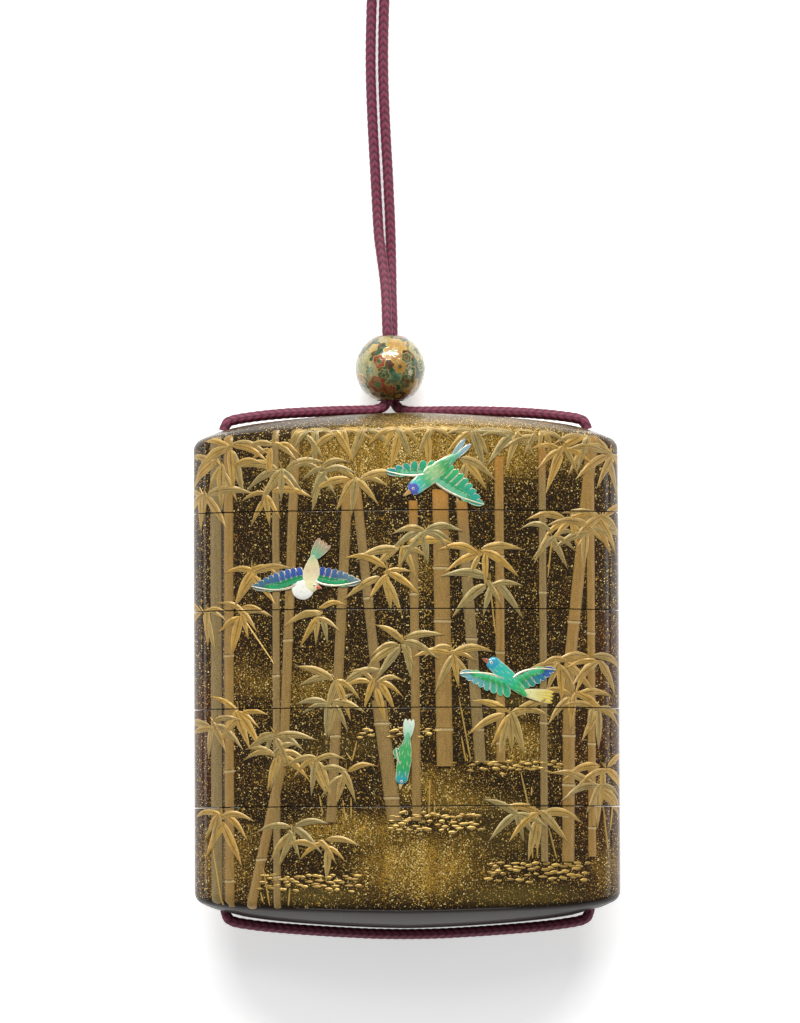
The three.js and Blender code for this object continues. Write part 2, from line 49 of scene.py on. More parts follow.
# ---- camera: a long lens, nearly straight above the decorated front ----
camera = bpy.data.objects.new("camera", bpy.data.cameras.new("camera"))
bpy.context.scene.collection.objects.link(camera)
bpy.context.scene.camera = camera
camera.data.lens = 293
camera.data.clip_end = 20
camera.location = (-0.0014, -0.0479, 1.526)
camera.rotation_euler = np.radians((2.9, 0.0, -0.25))

# ---- the cord's routes, as the part has them, in metres ----
LEFT_STRAND = [
    (-0.033, 0.0436, 0.0132), (-0.0328, 0.0444, 0.0132), (-0.0323, 0.0451, 0.01315),
    (-0.0314, 0.0455, 0.013), (-0.028, 0.0461, 0.0126), (-0.023, 0.0467, 0.0116),
    (-0.018, 0.04705, 0.0106), (-0.012, 0.04735, 0.0094), (-0.008, 0.04745, 0.0085),
    (-0.0056, 0.0476, 0.0079), (-0.0042, 0.0481, 0.0076), (-0.0034, 0.0491, 0.0075),
    (-0.0032, 0.0505, 0.00746), (-0.0032, 0.0553, 0.00746), (-0.0032, 0.0608, 0.00746),
    (-0.0033, 0.064, 0.0069), (-0.0034, 0.068, 0.0056), (-0.0037, 0.072, 0.0042),
    (-0.0042, 0.076, 0.0029), (-0.0047, 0.08, 0.0019), (-0.005, 0.085, 0.0012),
    (-0.0053, 0.091, 0.00102), (-0.0058, 0.101, 0.00102), (-0.0061, 0.111, 0.00102),
    (-0.0059, 0.122, 0.00102), (-0.0051, 0.137, 0.00102), (-0.0048, 0.152, 0.00102),
    (-0.0052, 0.167, 0.00102), (-0.0049, 0.1793, 0.0015),
]
RIGHT_STRAND = [
    (0.033, 0.0436, 0.0132), (0.0328, 0.0444, 0.0132), (0.0323, 0.0451, 0.01315),
    (0.0314, 0.0455, 0.013), (0.028, 0.0461, 0.0124), (0.023, 0.04665, 0.0112),
    (0.018, 0.047, 0.01), (0.012, 0.04725, 0.0086), (0.007, 0.04735, 0.0073),
    (0.003, 0.04735, 0.0063), (0.0006, 0.04745, 0.0058), (-0.001, 0.0479, 0.0055),
    (-0.0019, 0.0489, 0.0054), (-0.0022, 0.0504, 0.00534), (-0.00228, 0.0553, 0.00534),
    (-0.00228, 0.0605, 0.00534), (-0.0023, 0.064, 0.0046), (-0.0024, 0.068, 0.0033),
    (-0.00245, 0.072, 0.0021), (-0.0025, 0.076, 0.00125), (-0.0026, 0.081, 0.00102),
    (-0.003, 0.091, 0.00102), (-0.0035, 0.101, 0.00102), (-0.0038, 0.111, 0.00102),
    (-0.0036, 0.122, 0.00102), (-0.0028, 0.137, 0.00102), (-0.0024, 0.152, 0.00102),
    (-0.0028, 0.167, 0.00102), (-0.0025, 0.1793, 0.0015),
]
UNDER_HALF = [
    (-0.033, 0.0433, 0.0132), (-0.033, -0.043, 0.0132), (-0.033, -0.0438, 0.0132),
    (-0.0328, -0.0446, 0.0132), (-0.0323, -0.0453, 0.0132), (-0.0314, -0.0457, 0.0132),
    (-0.028, -0.0463, 0.0132), (-0.024, -0.04675, 0.0132), (-0.018, -0.04725, 0.0132),
    (-0.012, -0.04765, 0.0132), (-0.006, -0.04795, 0.0132),
]
UNDER_LOOP = UNDER_HALF + [(0, -0.04805, 0.0132)] + [(-x, y, z) for x, y, z in UNDER_HALF[::-1]]

CORD_RADIUS = 1.0
BRAID_PITCH = 1.4          # length of one stitch
BRAID_COLUMNS = 8          # columns of stitches round the cord
BRAID_STEPS = 5            # facets across a column
BRAID_ROWS = 7             # rings in a stitch
BRAID_SLANT = 0.55         # how far a stitch climbs across its column, in pitches
BRAID_DEPTH = 0.13         # valley between two stitches
SPAN_STEPS = 40            # steps worked out between two points of a route
KNOT_SIZE = (0.72, 1.12, 1.15)
KNOT_CENTRE = np.array([-3.7, 184.0, 2.45])


# ---- meshes ----
def grid_quads(rows, columns, copies=1):
    """Quads between neighbouring points of a grid stored row by row, the columns joined round."""
    row = np.arange(rows - 1)[:, None]
    column = np.arange(columns)[None, :]
    beside = (column + 1) % columns
    corners = [row * columns + column, row * columns + beside,
               (row + 1) * columns + beside, (row + 1) * columns + column]
    quads = np.stack(corners, axis=-1).reshape(-1, 4)
    start = np.arange(copies)[:, None, None] * rows * columns
    return (quads[None] + start).reshape(-1, 4)


def part(points, finish=0, **values):
    """One form, or several like ones: points are (..., rows, columns, 3) in millimetres, and
    each value is a number or an array over the points that the finish reads."""
    rows, columns = points.shape[-3:-1]
    copies = int(np.prod(points.shape[:-3]))
    spread = {name: np.broadcast_to(value, points.shape[:-1]).ravel()
              if np.ndim(value) < points.ndim or np.shape(value)[-1] != 3
              else np.broadcast_to(value, points.shape).reshape(-1, 3)
              for name, value in values.items()}
    return points.reshape(-1, 3), grid_quads(rows, columns, copies), finish, spread


def cut_between(bm, low, high):
    """Cuts off what lies below low or above high in y, and caps the cuts."""
    for level, is_low in ((low, True), (high, False)):
        cut = bmesh.ops.bisect_plane(
            bm, geom=bm.verts[:] + bm.edges[:] + bm.faces[:], dist=1e-8,
            plane_co=(0, level * MM, 0), plane_no=(0, 1, 0),
            clear_inner=is_low, clear_outer=not is_low)
        rim = [piece for piece in cut["geom_cut"] if isinstance(piece, bmesh.types.BMEdge)]
        bmesh.ops.holes_fill(bm, edges=rim, sides=0)


def form(name, parts, finishes=(), between=None, sharp=EDGE_ANGLE):
    """One object from its parts, with seams and poles merged, faces outwards and edges sharper
    than sharp degrees kept crisp."""
    starts = np.cumsum([0] + [len(points) for points, *_ in parts])
    points = np.concatenate([points for points, *_ in parts]) * MM
    quads = np.concatenate([quads + start for (_, quads, *_), start in zip(parts, starts)])
    mesh = bpy.data.meshes.new(name)
    mesh.vertices.add(len(points))
    mesh.vertices.foreach_set("co", points.astype(np.float32).ravel())
    mesh.loops.add(quads.size)
    mesh.loops.foreach_set("vertex_index", quads.astype(np.int32).ravel())
    mesh.polygons.add(len(quads))
    mesh.polygons.foreach_set("loop_start", np.arange(0, quads.size, 4, dtype=np.int32))
    for finish in finishes:
        mesh.materials.append(finish)
    numbers = np.concatenate([np.full(len(quads), number) for _, quads, number, _ in parts])
    mesh.polygons.foreach_set("material_index", numbers.astype(np.int32))
    for key in sorted({key for *_, values in parts for key in values}):
        found = [values.get(key) for *_, values in parts]
        is_colour = any(value is not None and value.ndim == 2 for value in found)
        blank = (lambda n: np.zeros((n, 3))) if is_colour else np.zeros
        column = np.concatenate([blank(len(points)) if value is None else value
                                 for value, (points, *_) in zip(found, parts)])
        layer = mesh.attributes.new(key, "FLOAT_VECTOR" if is_colour else "FLOAT", "POINT")
        layer.data.foreach_set("vector" if is_colour else "value",
                               column.astype(np.float32).ravel())
    mesh.update(calc_edges=True)
    bm = bmesh.new()
    bm.from_mesh(mesh)
    bmesh.ops.remove_doubles(bm, verts=bm.verts[:], dist=4e-7)
    if between:
        cut_between(bm, *between)
    bmesh.ops.recalc_face_normals(bm, faces=bm.faces[:])
    bm.to_mesh(mesh)
    bm.free()
    mesh.polygons.foreach_set("use_smooth", np.ones(len(mesh.polygons), bool))
    mesh.set_sharp_from_angle(angle=np.radians(sharp))
    made = bpy.data.objects.new(name, mesh)
    bpy.context.scene.collection.objects.link(made)
    return made


def piece(name, parts, finishes, node=None, slot=None, between=None, sharp=EDGE_ANGLE):
    """A form that rides on the body root, and the CAD node that it goes with. The slot is not
    used.
    """
    made = form(name, parts, finishes, between, sharp)
    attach(made, "root")
    if node:
        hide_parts(*([node] if isinstance(node, str) else node))
    return made


def unit(vectors):
    """Vectors of length 1."""
    return vectors / np.maximum(np.linalg.norm(vectors, axis=-1, keepdims=True), 1e-12)


# ---- shading ----
class Value:
    """A socket of a finish. Python's operators on it add Math nodes."""

    def __init__(self, finish, socket):
        self.finish, self.socket = finish, socket

    def math(self, operation, *others, clamp=False):
        """The Math node for any operation, with this socket first."""
        sockets = dict(enumerate((self, *others)))
        return self.finish.node("Math", {"operation": operation, "use_clamp": clamp}, sockets)

    def __add__(self, other):
        return self.math("ADD", other)

    def __mul__(self, other):
        return self.math("MULTIPLY", other)

    def __sub__(self, other):
        return self.math("SUBTRACT", other)

    def __rsub__(self, other):
        return (self * -1.0) + other

    def __truediv__(self, other):
        return self.math("DIVIDE", other)

    __radd__, __rmul__ = __add__, __mul__

    def rise(self, low, high):
        """0 up to low, 1 from high, and a straight line between them."""
        return ((self - low) / (high - low)).math("ADD", 0.0, clamp=True)


class Finish:
    """A material, with one method for every kind of node."""

    def __init__(self, name):
        self.material = bpy.data.materials.new(name)
        self.material.use_nodes = True
        self.tree = self.material.node_tree
        self.tree.nodes.clear()

    def node(self, kind, settings=None, sockets=None, output=0):
        """Adds a node: settings first, then its sockets' values or links. Gives one output."""
        made = self.tree.nodes.new("ShaderNode" + kind)
        for key, value in (settings or {}).items():
            if key == "stops":
                ramp = made.color_ramp
                while len(ramp.elements) < len(value):
                    ramp.elements.new(1.0)
                for stop, (position, colour) in zip(ramp.elements, value):
                    stop.position, stop.color = position, colour
            else:
                setattr(made, key, value)
        for key, value in (sockets or {}).items():
            if isinstance(value, Value):
                self.tree.links.new(value.socket, made.inputs[key])
            else:
                made.inputs[key].default_value = value
        return Value(self, made.outputs[output]) if made.outputs else None

    def place(self):
        """Object coordinates, in metres."""
        return self.node("TexCoord", output="Object")

    def read(self, name, output="Fac"):
        """A value that the mesh carries at its points, or a colour with output Color."""
        return self.node("Attribute", {"attribute_name": name}, output=output)

    def noise(self, scale, detail=2.0, place=None):
        """Noise with scale features in a metre."""
        return self.node("TexNoise", None, {"Vector": place or self.place(), "Scale": scale,
                                            "Detail": detail}, "Fac")

    def mix(self, share, first, second, blend="MIX"):
        """The first colour at share 0 and the second at 1."""
        settings = {"data_type": "RGBA", "blend_type": blend}
        return self.node("Mix", settings, {0: share, 6: first, 7: second}, 2)

    def stretched(self, scale):
        """Object coordinates drawn out by a scale for each axis."""
        return self.node("Mapping", None, {"Vector": self.place(), "Scale": scale})

    def bump(self, height, strength, distance):
        """A normal bent by height, whose full height is distance in millimetres."""
        return self.node("Bump", None, {"Height": height, "Strength": strength,
                                        "Distance": distance * MM})

    def surface(self, **sockets):
        """The Principled shader, with a socket's name written in words joined by _."""
        named = {key.replace("_", " "): value for key, value in sockets.items()}
        shader = self.node("BsdfPrincipled", None, named)
        self.node("OutputMaterial", None, {"Surface": shader})
        return self.material


def paint(code):
    """A colour written as six hexadecimal digits of sRGB, in linear light."""
    values = np.array([int(code[i:i + 2], 16) for i in (0, 2, 4)]) / 255
    linear = np.where(values <= 0.04045, values / 12.92, ((values + 0.055) / 1.055) ** 2.4)
    return (*linear.tolist(), 1.0)


def flakes(finish, cell, amount, reach=0.42):
    """Metal flakes sprinkled in lacquer: each Voronoi cell of cell millimetres holds one where
    its random number is under amount. Gives the flakes' mask and each flake's brightness, which
    is its own tone and also a painted glint: the brightest flakes are painted pale as if they
    caught the light."""
    cells = finish.node("TexVoronoi", None, {"Vector": finish.place(), "Scale": 1 / (cell * MM)})
    seed = Value(finish, cells.socket.node.outputs["Color"])
    draws = finish.node("SeparateColor", None, {0: seed})
    red, green, blue = (Value(finish, socket) for socket in draws.socket.node.outputs)
    size = reach * (0.55 + 0.6 * green)
    mask = (amount - red).rise(0.0, 0.04) * (size - cells).rise(0.0, 0.1)
    return mask, blue


def lacquer_finish(name, ground):
    """Dark lacquer over sprinkled gold: coarse flakes, fine flakes and dust, thick where the
    values flake and dust are high, and red where the value ember is."""
    finish = Finish(name)
    drift = finish.noise(260.0, 3.0)
    flake = finish.read("flake") * (0.55 + 0.9 * drift)
    dust = finish.read("dust")
    ember = finish.read("ember") * finish.noise(120.0, 2.0).rise(0.3, 0.7)
    base = finish.mix(ember, paint(ground), paint("4a1c06"))
    haze = finish.noise(9000.0, 1.0).rise(0.35, 0.75) * dust
    base = finish.mix(haze, base, paint("8f7a38"))
    fine = finish.noise(5200.0, 1.0).rise(0.52, 0.72) * flake.rise(0.1, 1.1)
    base = finish.mix(fine * 0.8, base, paint("7d5a18"))
    heap = flake.rise(0.5, 1.2) * finish.noise(4200.0, 2.0).rise(0.42, 0.58)
    base = finish.mix(heap * 0.85, base, paint("a9842e"))
    # Each size of flake: its cell in millimetres, the share of cells that hold one, its reach.
    for cell, share, reach in ((0.17, 0.8, 0.44), (0.27, 0.75, 0.43), (0.4, 0.62, 0.4)):
        mask, tone_and_glint = flakes(finish, cell, flake * share, reach)
        # Painted glint: a flake's brightness picks its colour from dark amber to pale gold,
        # standing in for light caught by tilted flakes as well as for their own tone.
        leaf = finish.node("ValToRGB", {"stops": [
            (0.0, paint("4a2e08")), (0.35, paint("a0752a")), (0.7, paint("d8ae4c")),
            (1.0, paint("f9e5a0"))]}, {0: tone_and_glint})
        base = finish.mix(mask, base, leaf)
    return finish.surface(
        Base_Color=base, Roughness=0.42, Metallic=0.25, Specular_IOR_Level=0.15,
        Coat_Weight=finish.read("gloss"), Coat_Roughness=0.08, Coat_IOR=1.43)


def gold_finish(name, pale, warm, worn, streaks):
    """Raised gold lacquer: tone turns it from silvery to yellow gold, age browns it, and line
    draws its dark engraved lines, which on the stems also carry painted shade along their
    rounded sides. rim paints pale edges, a painted highlight on leaf edges and under stem
    nodes. Fine dust gives it its grain, and streaks its long clouds."""
    finish = Finish(name)
    grain = finish.noise(7000.0, 2.0)
    cloud = finish.noise(420.0, 3.0)
    streak = finish.noise(1.0, 2.0, finish.stretched(streaks))
    colour = finish.mix(finish.read("tone"), paint(pale), paint(warm))
    colour = finish.mix(cloud.rise(0.35, 0.8) * 0.35, colour, paint(worn))
    colour = finish.mix(streak.rise(0.45, 0.75) * 0.5, colour, paint(worn))
    colour = finish.mix(finish.read("age"), colour, paint("b0700f"))
    # Dark engraved lines, and on the stems painted shade along their sides.
    colour = finish.mix(finish.read("line"), colour, paint("32200a"))
    # Painted highlight: rim lightens leaf edges and the line under each stem node.
    colour = finish.mix(finish.read("rim") * 0.6, colour, paint("e6cf98"))
    colour = finish.mix(grain.rise(0.42, 0.7) * 0.4, colour, paint("dcbc6c"))
    bump = finish.bump(grain, 0.25, 0.03)
    return finish.surface(
        Base_Color=colour, Roughness=0.46 + 0.12 * grain, Metallic=0.35, Normal=bump,
        Coat_Weight=0.25, Coat_Roughness=0.2)


def foil_finish():
    """Bright gold foil for pebbles, shoots and twigs."""
    finish = Finish("gold_foil")
    grain = finish.noise(5000.0, 2.0)
    colour = finish.mix(finish.read("tone"), paint("9a7a38"), paint("d0ac58"))
    colour = finish.mix(grain.rise(0.5, 0.75) * 0.5, colour, paint("8a6420"))
    return finish.surface(
        Base_Color=colour, Roughness=0.4, Metallic=0.45, Normal=finish.bump(grain, 0.3, 0.04),
        Coat_Weight=0.3, Coat_Roughness=0.15)


def enamel_finish(name, scale):
    """Glassy enamel in the colour tint, clouded, with pale gilt where the value wire is 1."""
    finish = Finish(name)
    tint = finish.read("tint", "Color")
    cloud = finish.noise(scale, 4.0)
    colour = finish.mix(cloud.rise(0.3, 0.75) * 0.35, tint, paint("dfe8c8"), "SOFT_LIGHT")
    colour = finish.mix((0.45 - cloud).rise(0.0, 0.2) * 0.2, colour, paint("123a2c"))
    wire = finish.read("wire")
    colour = finish.mix(wire, colour, paint("f1e6c4"))
    return finish.surface(
        Base_Color=colour, Roughness=0.3, Metallic=wire * 0.4, Coat_Weight=0.9,
        Coat_Roughness=0.05, Normal=finish.bump(cloud, 0.15, 0.05))


def wire_finish():
    """The fine silver-gilt wires between the enamels."""
    finish = Finish("cloison_wire")
    grain = finish.noise(4000.0, 2.0)
    colour = finish.mix(grain, paint("e9dcb4"), paint("f7f0da"))
    return finish.surface(Base_Color=colour, Roughness=0.3 + 0.1 * grain, Metallic=0.6)


def silk_finish():
    """Braided silk: ply is 0 in the valleys and 1 on the stitches, and its fibres run along
    each stitch. The valleys are painted dark as painted shade between the stitches, and the
    fibres on the stitch tops are painted pale pink, partly their own colour and partly a
    painted sheen."""
    finish = Finish("braided_silk")
    ply = finish.read("ply")
    fibre = finish.noise(5200.0, 3.0)
    # Painted shade: the valleys between stitches are painted dark crimson, the stitch tops
    # lighter.
    colour = finish.mix(ply.rise(0.1, 0.85), paint("35091a"), paint("7c2c46"))
    # Pale pink fibre streaks on the stitch tops: partly the silk's own fibres, partly a painted
    # sheen.
    colour = finish.mix(fibre.rise(0.45, 0.75) * ply * 0.4, colour, paint("b0566e"))
    return finish.surface(
        Base_Color=colour, Roughness=0.62, Normal=finish.bump(fibre, 0.35, 0.06),
        Sheen_Weight=0.12, Sheen_Roughness=0.4)


def bead_finish():
    """The bead's polished cells: tint is the enamel and wire is 1 on its brass wires."""
    finish = Finish("bead_cloisonne")
    tint = finish.read("tint", "Color")
    cloud = finish.noise(900.0, 4.0)
    speck = finish.noise(3800.0, 2.0)
    colour = finish.mix(cloud.rise(0.4, 0.75) * 0.3, tint, paint("c9c78c"))
    colour = finish.mix((0.42 - cloud).rise(0.0, 0.15) * 0.5, colour, paint("2a2410"))
    colour = finish.mix(speck.rise(0.55, 0.7) * 0.25, colour, paint("5b3b1c"))
    wire = finish.read("wire")
    colour = finish.mix(wire, colour, paint("d9b866"))
    return finish.surface(
        Base_Color=colour, Metallic=wire * 0.7, Roughness=0.3, Coat_Weight=0.8,
        Coat_Roughness=0.07)


LACQUER = lacquer_finish("sprinkled_lacquer", "1c1106")
CULM_GOLD = gold_finish("culm_gold", "7d6b48", "9a7638", "5e4820", (3200, 260, 3200))
LEAF_GOLD = gold_finish("leaf_gold", "958858", "c4983e", "6c5424", (900, 900, 900))
FOIL = foil_finish()
ENAMEL = enamel_finish("bird_enamel", 1500.0)
WIRE = wire_finish()
SILK = silk_finish()
BEAD = bead_finish()


# ---- the cord ----
def run_of(path):
    """The length run along a path up to each of its points."""
    return np.concatenate([[0], np.cumsum(np.linalg.norm(np.diff(path, axis=0), axis=1))])


def even_points(curve, count):
    """A curve again as count points, evenly apart along it."""
    run = run_of(curve)
    even = np.linspace(0, run[-1], count)
    return np.stack([np.interp(even, run, axis) for axis in curve.T], axis=-1)


def smooth_route(points, step):
    """A centripetal Catmull-Rom curve through the points, in millimetres, resampled evenly:
    on each span a cubic meets its neighbours with the tangents of that rule."""
    points = np.array(points) / MM
    padded = np.vstack([2 * points[0] - points[1], points, 2 * points[-1] - points[-2]])
    knots = np.linalg.norm(np.diff(padded, axis=0), axis=1)[:, None, None] ** 0.5
    before, start, end, after = (padded[i:len(padded) - 3 + i, None] for i in range(4))
    first, middle, last = knots[:-2], knots[1:-1], knots[2:]
    leave = middle * ((start - before) / first - (end - before) / (first + middle)) + end - start
    arrive = end - start - middle * ((after - start) / (middle + last) - (after - end) / last)
    t = np.linspace(0, 1, SPAN_STEPS, endpoint=False)[None, :, None]
    curve = ((2 * t ** 3 - 3 * t ** 2 + 1) * start + (t ** 3 - 2 * t ** 2 + t) * leave
             + (3 * t ** 2 - 2 * t ** 3) * end + (t ** 3 - t ** 2) * arrive).reshape(-1, 3)
    curve = np.vstack([curve, points[-1]])
    return even_points(curve, int(round(run_of(curve)[-1] / step)) + 1)


def braid(path):
    """Braided tube round a path, as a part: columns of slanted stitches run along it, leaning
    the other way in every other column. A stitch stands out as (1 - 0.8 u^2)^0.5, u from -1 to
    1 across its column, times |cos|^0.7 of its phase along the cord."""
    along = run_of(path)[:, None]
    turn = np.linspace(0, 2 * np.pi, BRAID_COLUMNS * BRAID_STEPS, endpoint=False)[None, :]
    column = np.floor(turn / (2 * np.pi) * BRAID_COLUMNS + 1e-9)
    across = turn / (2 * np.pi) * BRAID_COLUMNS - column
    lean = np.where(column % 2 == 0, 1.0, -1.0)
    phase = along / BRAID_PITCH + lean * BRAID_SLANT * (across - 0.5)
    ply = (1 - (2 * across - 1) ** 2 * 0.8) ** 0.5 * np.abs(np.cos(np.pi * phase)) ** 0.7
    radius = CORD_RADIUS - BRAID_DEPTH * (1 - ply)
    ahead = unit(np.gradient(path, axis=0))[:, None]
    side = unit(np.cross(ahead, UP))
    over = np.cross(side, ahead)
    ring = np.cos(turn)[..., None] * side + np.sin(turn)[..., None] * over
    wall = path[:, None] + radius[..., None] * ring
    ends = [np.broadcast_to(path[i], wall[:1].shape) for i in (0, -1)]
    ply = np.concatenate([ply[:1], ply, ply[-1:]])
    return part(np.concatenate([ends[0], wall, ends[1]]), ply=ply)


def knot_path(step):
    """The knot's two turns as a trefoil: x = sin t + 2 sin 2t, y = cos t - 2 cos 2t and
    z = -sin 3t, each drawn out to the knot's size."""
    t = np.linspace(0, 2 * np.pi, 400)
    wide, long, high = KNOT_SIZE
    curve = np.stack([wide * (np.sin(t) + 2 * np.sin(2 * t)),
                      long * (np.cos(t) - 2 * np.cos(2 * t)), -high * np.sin(3 * t)], axis=-1)
    return even_points(curve, int(run_of(curve)[-1] / step)) + KNOT_CENTRE


BRAID_STEP = BRAID_PITCH / BRAID_ROWS
routes = {name: smooth_route(points, BRAID_STEP) for name, points in (
    ("left_strand", LEFT_STRAND), ("right_strand", RIGHT_STRAND), ("under_loop", UNDER_LOOP))}
SILK_EDGE_ANGLE = 80
cords = {name: piece(name + "_braid", [braid(path)], [SILK], "cord_" + name, "silk_cord",
                     sharp=SILK_EDGE_ANGLE) for name, path in routes.items()}
knot = piece("knot_braid", [braid(knot_path(BRAID_STEP))], [SILK], "cord_knot", "silk_cord",
             sharp=SILK_EDGE_ANGLE)

# ---- the bead ----
BEAD_CENTRE = np.array([-2.73, 55.3, 6.4])
BEAD_RADIUS = 6.4
BEAD_BORE = 2.5
BEAD_FLOWERS = 64
BEAD_WIRE = 0.08           # half the width of a wire between the bead's cells
BEAD_PALETTE = ("7f8a60", "a9762a", "3a2216", "b98f3e", "3f6a4c", "989262", "8e3620", "1f4630",
                "a9a478", "543418", "8b9468", "2f5f38")


def bead_part():
    """A bored ball with cells of enamel: each cell is a flower of radius r (1 + 0.13 cos n a)
    round its centre, a being the angle round it, with a wire along its edge and a round eye in
    a second colour. The centres lie on a spiral, at golden-angle turns. The rest is green."""
    first = np.arcsin(BEAD_BORE / BEAD_RADIUS)
    polar = np.concatenate([[first], np.linspace(first + 0.02, np.pi - first - 0.02, 220),
                            [np.pi - first]])[:, None]
    turn = np.linspace(0, 2 * np.pi, 360, endpoint=False)[None, :]
    out = np.stack([np.sin(polar) * np.cos(turn), np.cos(polar) + 0 * turn,
                    np.sin(polar) * np.sin(turn)], axis=-1)
    rng = np.random.default_rng(7)
    number = np.arange(BEAD_FLOWERS)
    height = 1 - 2 * (number + 0.5) / BEAD_FLOWERS
    golden = number * np.pi * (3 - 5 ** 0.5) + rng.normal(0, 0.12, BEAD_FLOWERS)
    level = np.sqrt(1 - height ** 2)
    centres = np.stack([level * np.cos(golden), height, level * np.sin(golden)], axis=-1)
    east = unit(np.cross(UP[[2, 0, 1]] + 0.01 * UP, centres) + 1e-6)
    north = np.cross(centres, east)
    size = rng.uniform(0.7, 1.9, BEAD_FLOWERS)
    petals = rng.integers(5, 8, BEAD_FLOWERS)
    start = rng.uniform(0, 6, BEAD_FLOWERS)
    nearest = np.full(out.shape[:2], np.inf)
    owner = np.zeros(out.shape[:2], int)
    for i in range(BEAD_FLOWERS):
        reach = BEAD_RADIUS * np.arccos(np.clip(out @ centres[i], -1, 1))
        angle = np.arctan2(out @ north[i], out @ east[i])
        gap = reach - size[i] * (1 + 0.13 * np.cos(petals[i] * angle + start[i]))
        owner = np.where(gap < nearest, i, owner)
        nearest = np.minimum(gap, nearest)
    palette = np.array([paint(code)[:3] for code in BEAD_PALETTE])
    petal = palette[rng.integers(0, len(palette), BEAD_FLOWERS)]
    eye = palette[rng.integers(0, len(palette), BEAD_FLOWERS)]
    wave = out * 3.1 + np.sin(out[..., [1, 2, 0]] * 7.3)
    mottle = np.sin(wave).sum(axis=-1, keepdims=True) + np.sin(2.7 * wave[..., ::-1]).sum(
        axis=-1, keepdims=True)
    ground = np.where(mottle > 1.1, palette[9], palette[7] * (1.1 + 0.3 * np.sin(3 * mottle)))
    ground = np.where(mottle < -1.3, palette[4], ground)
    eyes = nearest + 0.6 * size[owner]
    tint = np.where((nearest < 0)[..., None], petal[owner], ground)
    tint = np.where((eyes < 0)[..., None], eye[owner], tint)
    edge = np.minimum(np.abs(nearest), np.abs(eyes) + 0.02)
    wire = np.clip((BEAD_WIRE - edge) / 0.04, 0, 1)
    ball = BEAD_CENTRE + (BEAD_RADIUS - 0.03 * (1 - wire))[..., None] * out
    bore = BEAD_CENTRE + BEAD_RADIUS * out[[-1, 0]]
    points = np.concatenate([ball, bore])
    tint = np.concatenate([tint, tint[[-1, 0]] * 0 + palette[2]])
    return part(points, tint=tint, wire=np.concatenate([wire, wire[[-1, 0]] * 0]))


bead = piece("ojime_enamel", [bead_part()], [BEAD], "ojime_bead", "bead")

# ---- the lens-shaped plan of the case, as the part has it ----
HALF_WIDTH = 38.6
HALF_DEPTH = 13.5
FACE_RADIUS = 75.0
REST_FLAT = 13.0
BOX_PITCH = 17.8
LID_SIDE = 12.85
FOOT_SIDE = 16.55
LID_CROWN = 5.5
FOOT_CROWN = 5.1
EDGE_BOW = 2.45
JOINT_GAP = 0.3
SKIN = 0.9
LIP = 0.9
LIP_HEIGHT = 5.0
FLOOR = 1.6
CROWN_WALL = 2.0
CAVITY_HALF_WIDTH = 29.2
CHANNEL_X = 33.0
CHANNEL_RADIUS = 1.45
MOUTH_RADIUS = 2.3

LENGTH = FOOT_CROWN + FOOT_SIDE + 3 * BOX_PITCH + LID_SIDE + LID_CROWN
FOOT_CORNER = FOOT_CROWN - LENGTH / 2
LID_CORNER = LENGTH / 2 - LID_CROWN
JOINTS = FOOT_CORNER + FOOT_SIDE + BOX_PITCH * np.arange(4)
ARC_CENTRE = FACE_RADIUS - HALF_DEPTH
END_RADIUS = ((FACE_RADIUS ** 2 - HALF_WIDTH ** 2 - ARC_CENTRE ** 2)
              / (2 * (FACE_RADIUS - HALF_WIDTH)))
END_CENTRE = HALF_WIDTH - END_RADIUS
ARC_JOIN = END_CENTRE * FACE_RADIUS / (FACE_RADIUS - END_RADIUS)
AXIS_Z = np.sqrt(FACE_RADIUS ** 2 - (REST_FLAT / 2) ** 2) - ARC_CENTRE

# What the eye sees and the solids leave out: soft edges and close rows.
SEAM = 0.16                # the open joint between two tiers as the eye sees it
UNDERSIDE = FOOT_CROWN + 0.3   # rise of the underside, a little fuller than the solid's
JOINT_EDGE = 0.12          # rounding of the edges at a joint
SHOULDER = 1.15            # rounding between the walls and the roof or the underside
WALL_ROWS = 16
FACE_STEPS = 60
END_STEPS = 12
LIP_BEVEL = 0.2            # chamfer round the top of a lip
PLAIN_BAND = 0.9           # width of the plain band round the foot of the bottom case
INSIDE_LOOK = (0.5, 0.3, 0.0, 0.5)   # flakes, dust, red and gloss of the hidden faces
RELIEF_MARGIN = 0.02       # how far relief stops short of a joint
RELIEF_ROOT = -0.2         # how far relief reaches into the wall

JOIN_TURN = np.arcsin(ARC_JOIN / FACE_RADIUS)
STRIPE_TURN = np.arcsin(REST_FLAT / 2 / FACE_RADIUS)
FACE_TURNS = np.unique(np.append(np.linspace(-JOIN_TURN, JOIN_TURN, FACE_STEPS + 1),
                                 [-STRIPE_TURN, STRIPE_TURN]))
END_TURNS = np.linspace(JOIN_TURN, np.pi / 2, END_STEPS + 1)[1:]
TURNS = np.concatenate([-END_TURNS[::-1], FACE_TURNS, END_TURNS])


def depth_at(x):
    """From the middle of the case to its front at x: the face's arc, then the end's arc."""
    side = np.minimum(np.abs(x), HALF_WIDTH)
    face = np.sqrt(FACE_RADIUS ** 2 - side ** 2) - ARC_CENTRE
    end = np.sqrt(np.maximum(END_RADIUS ** 2 - (side - END_CENTRE) ** 2, 0))
    return np.where(side < ARC_JOIN, face, end)


def crown(x, z, rise):
    """Height of a crown over its corners: bow (edge + (rise - edge) (1 - across^2)), where bow
    falls from 1 in the middle to 0 at the sides and across is z as a share of the depth."""
    u = np.minimum(1, np.abs(x) / HALF_WIDTH)
    bow = 1 - 0.55 * u ** 1.6 - 0.45 * u ** 8
    across = np.minimum(1, np.abs(z) / np.maximum(depth_at(x), 1e-3))
    return bow * (EDGE_BOW + (rise - EDGE_BOW) * (1 - across ** 2))


def edge_of(x, rise):
    """Height of a crown at the front edge of the case."""
    return crown(x, HALF_DEPTH, rise)


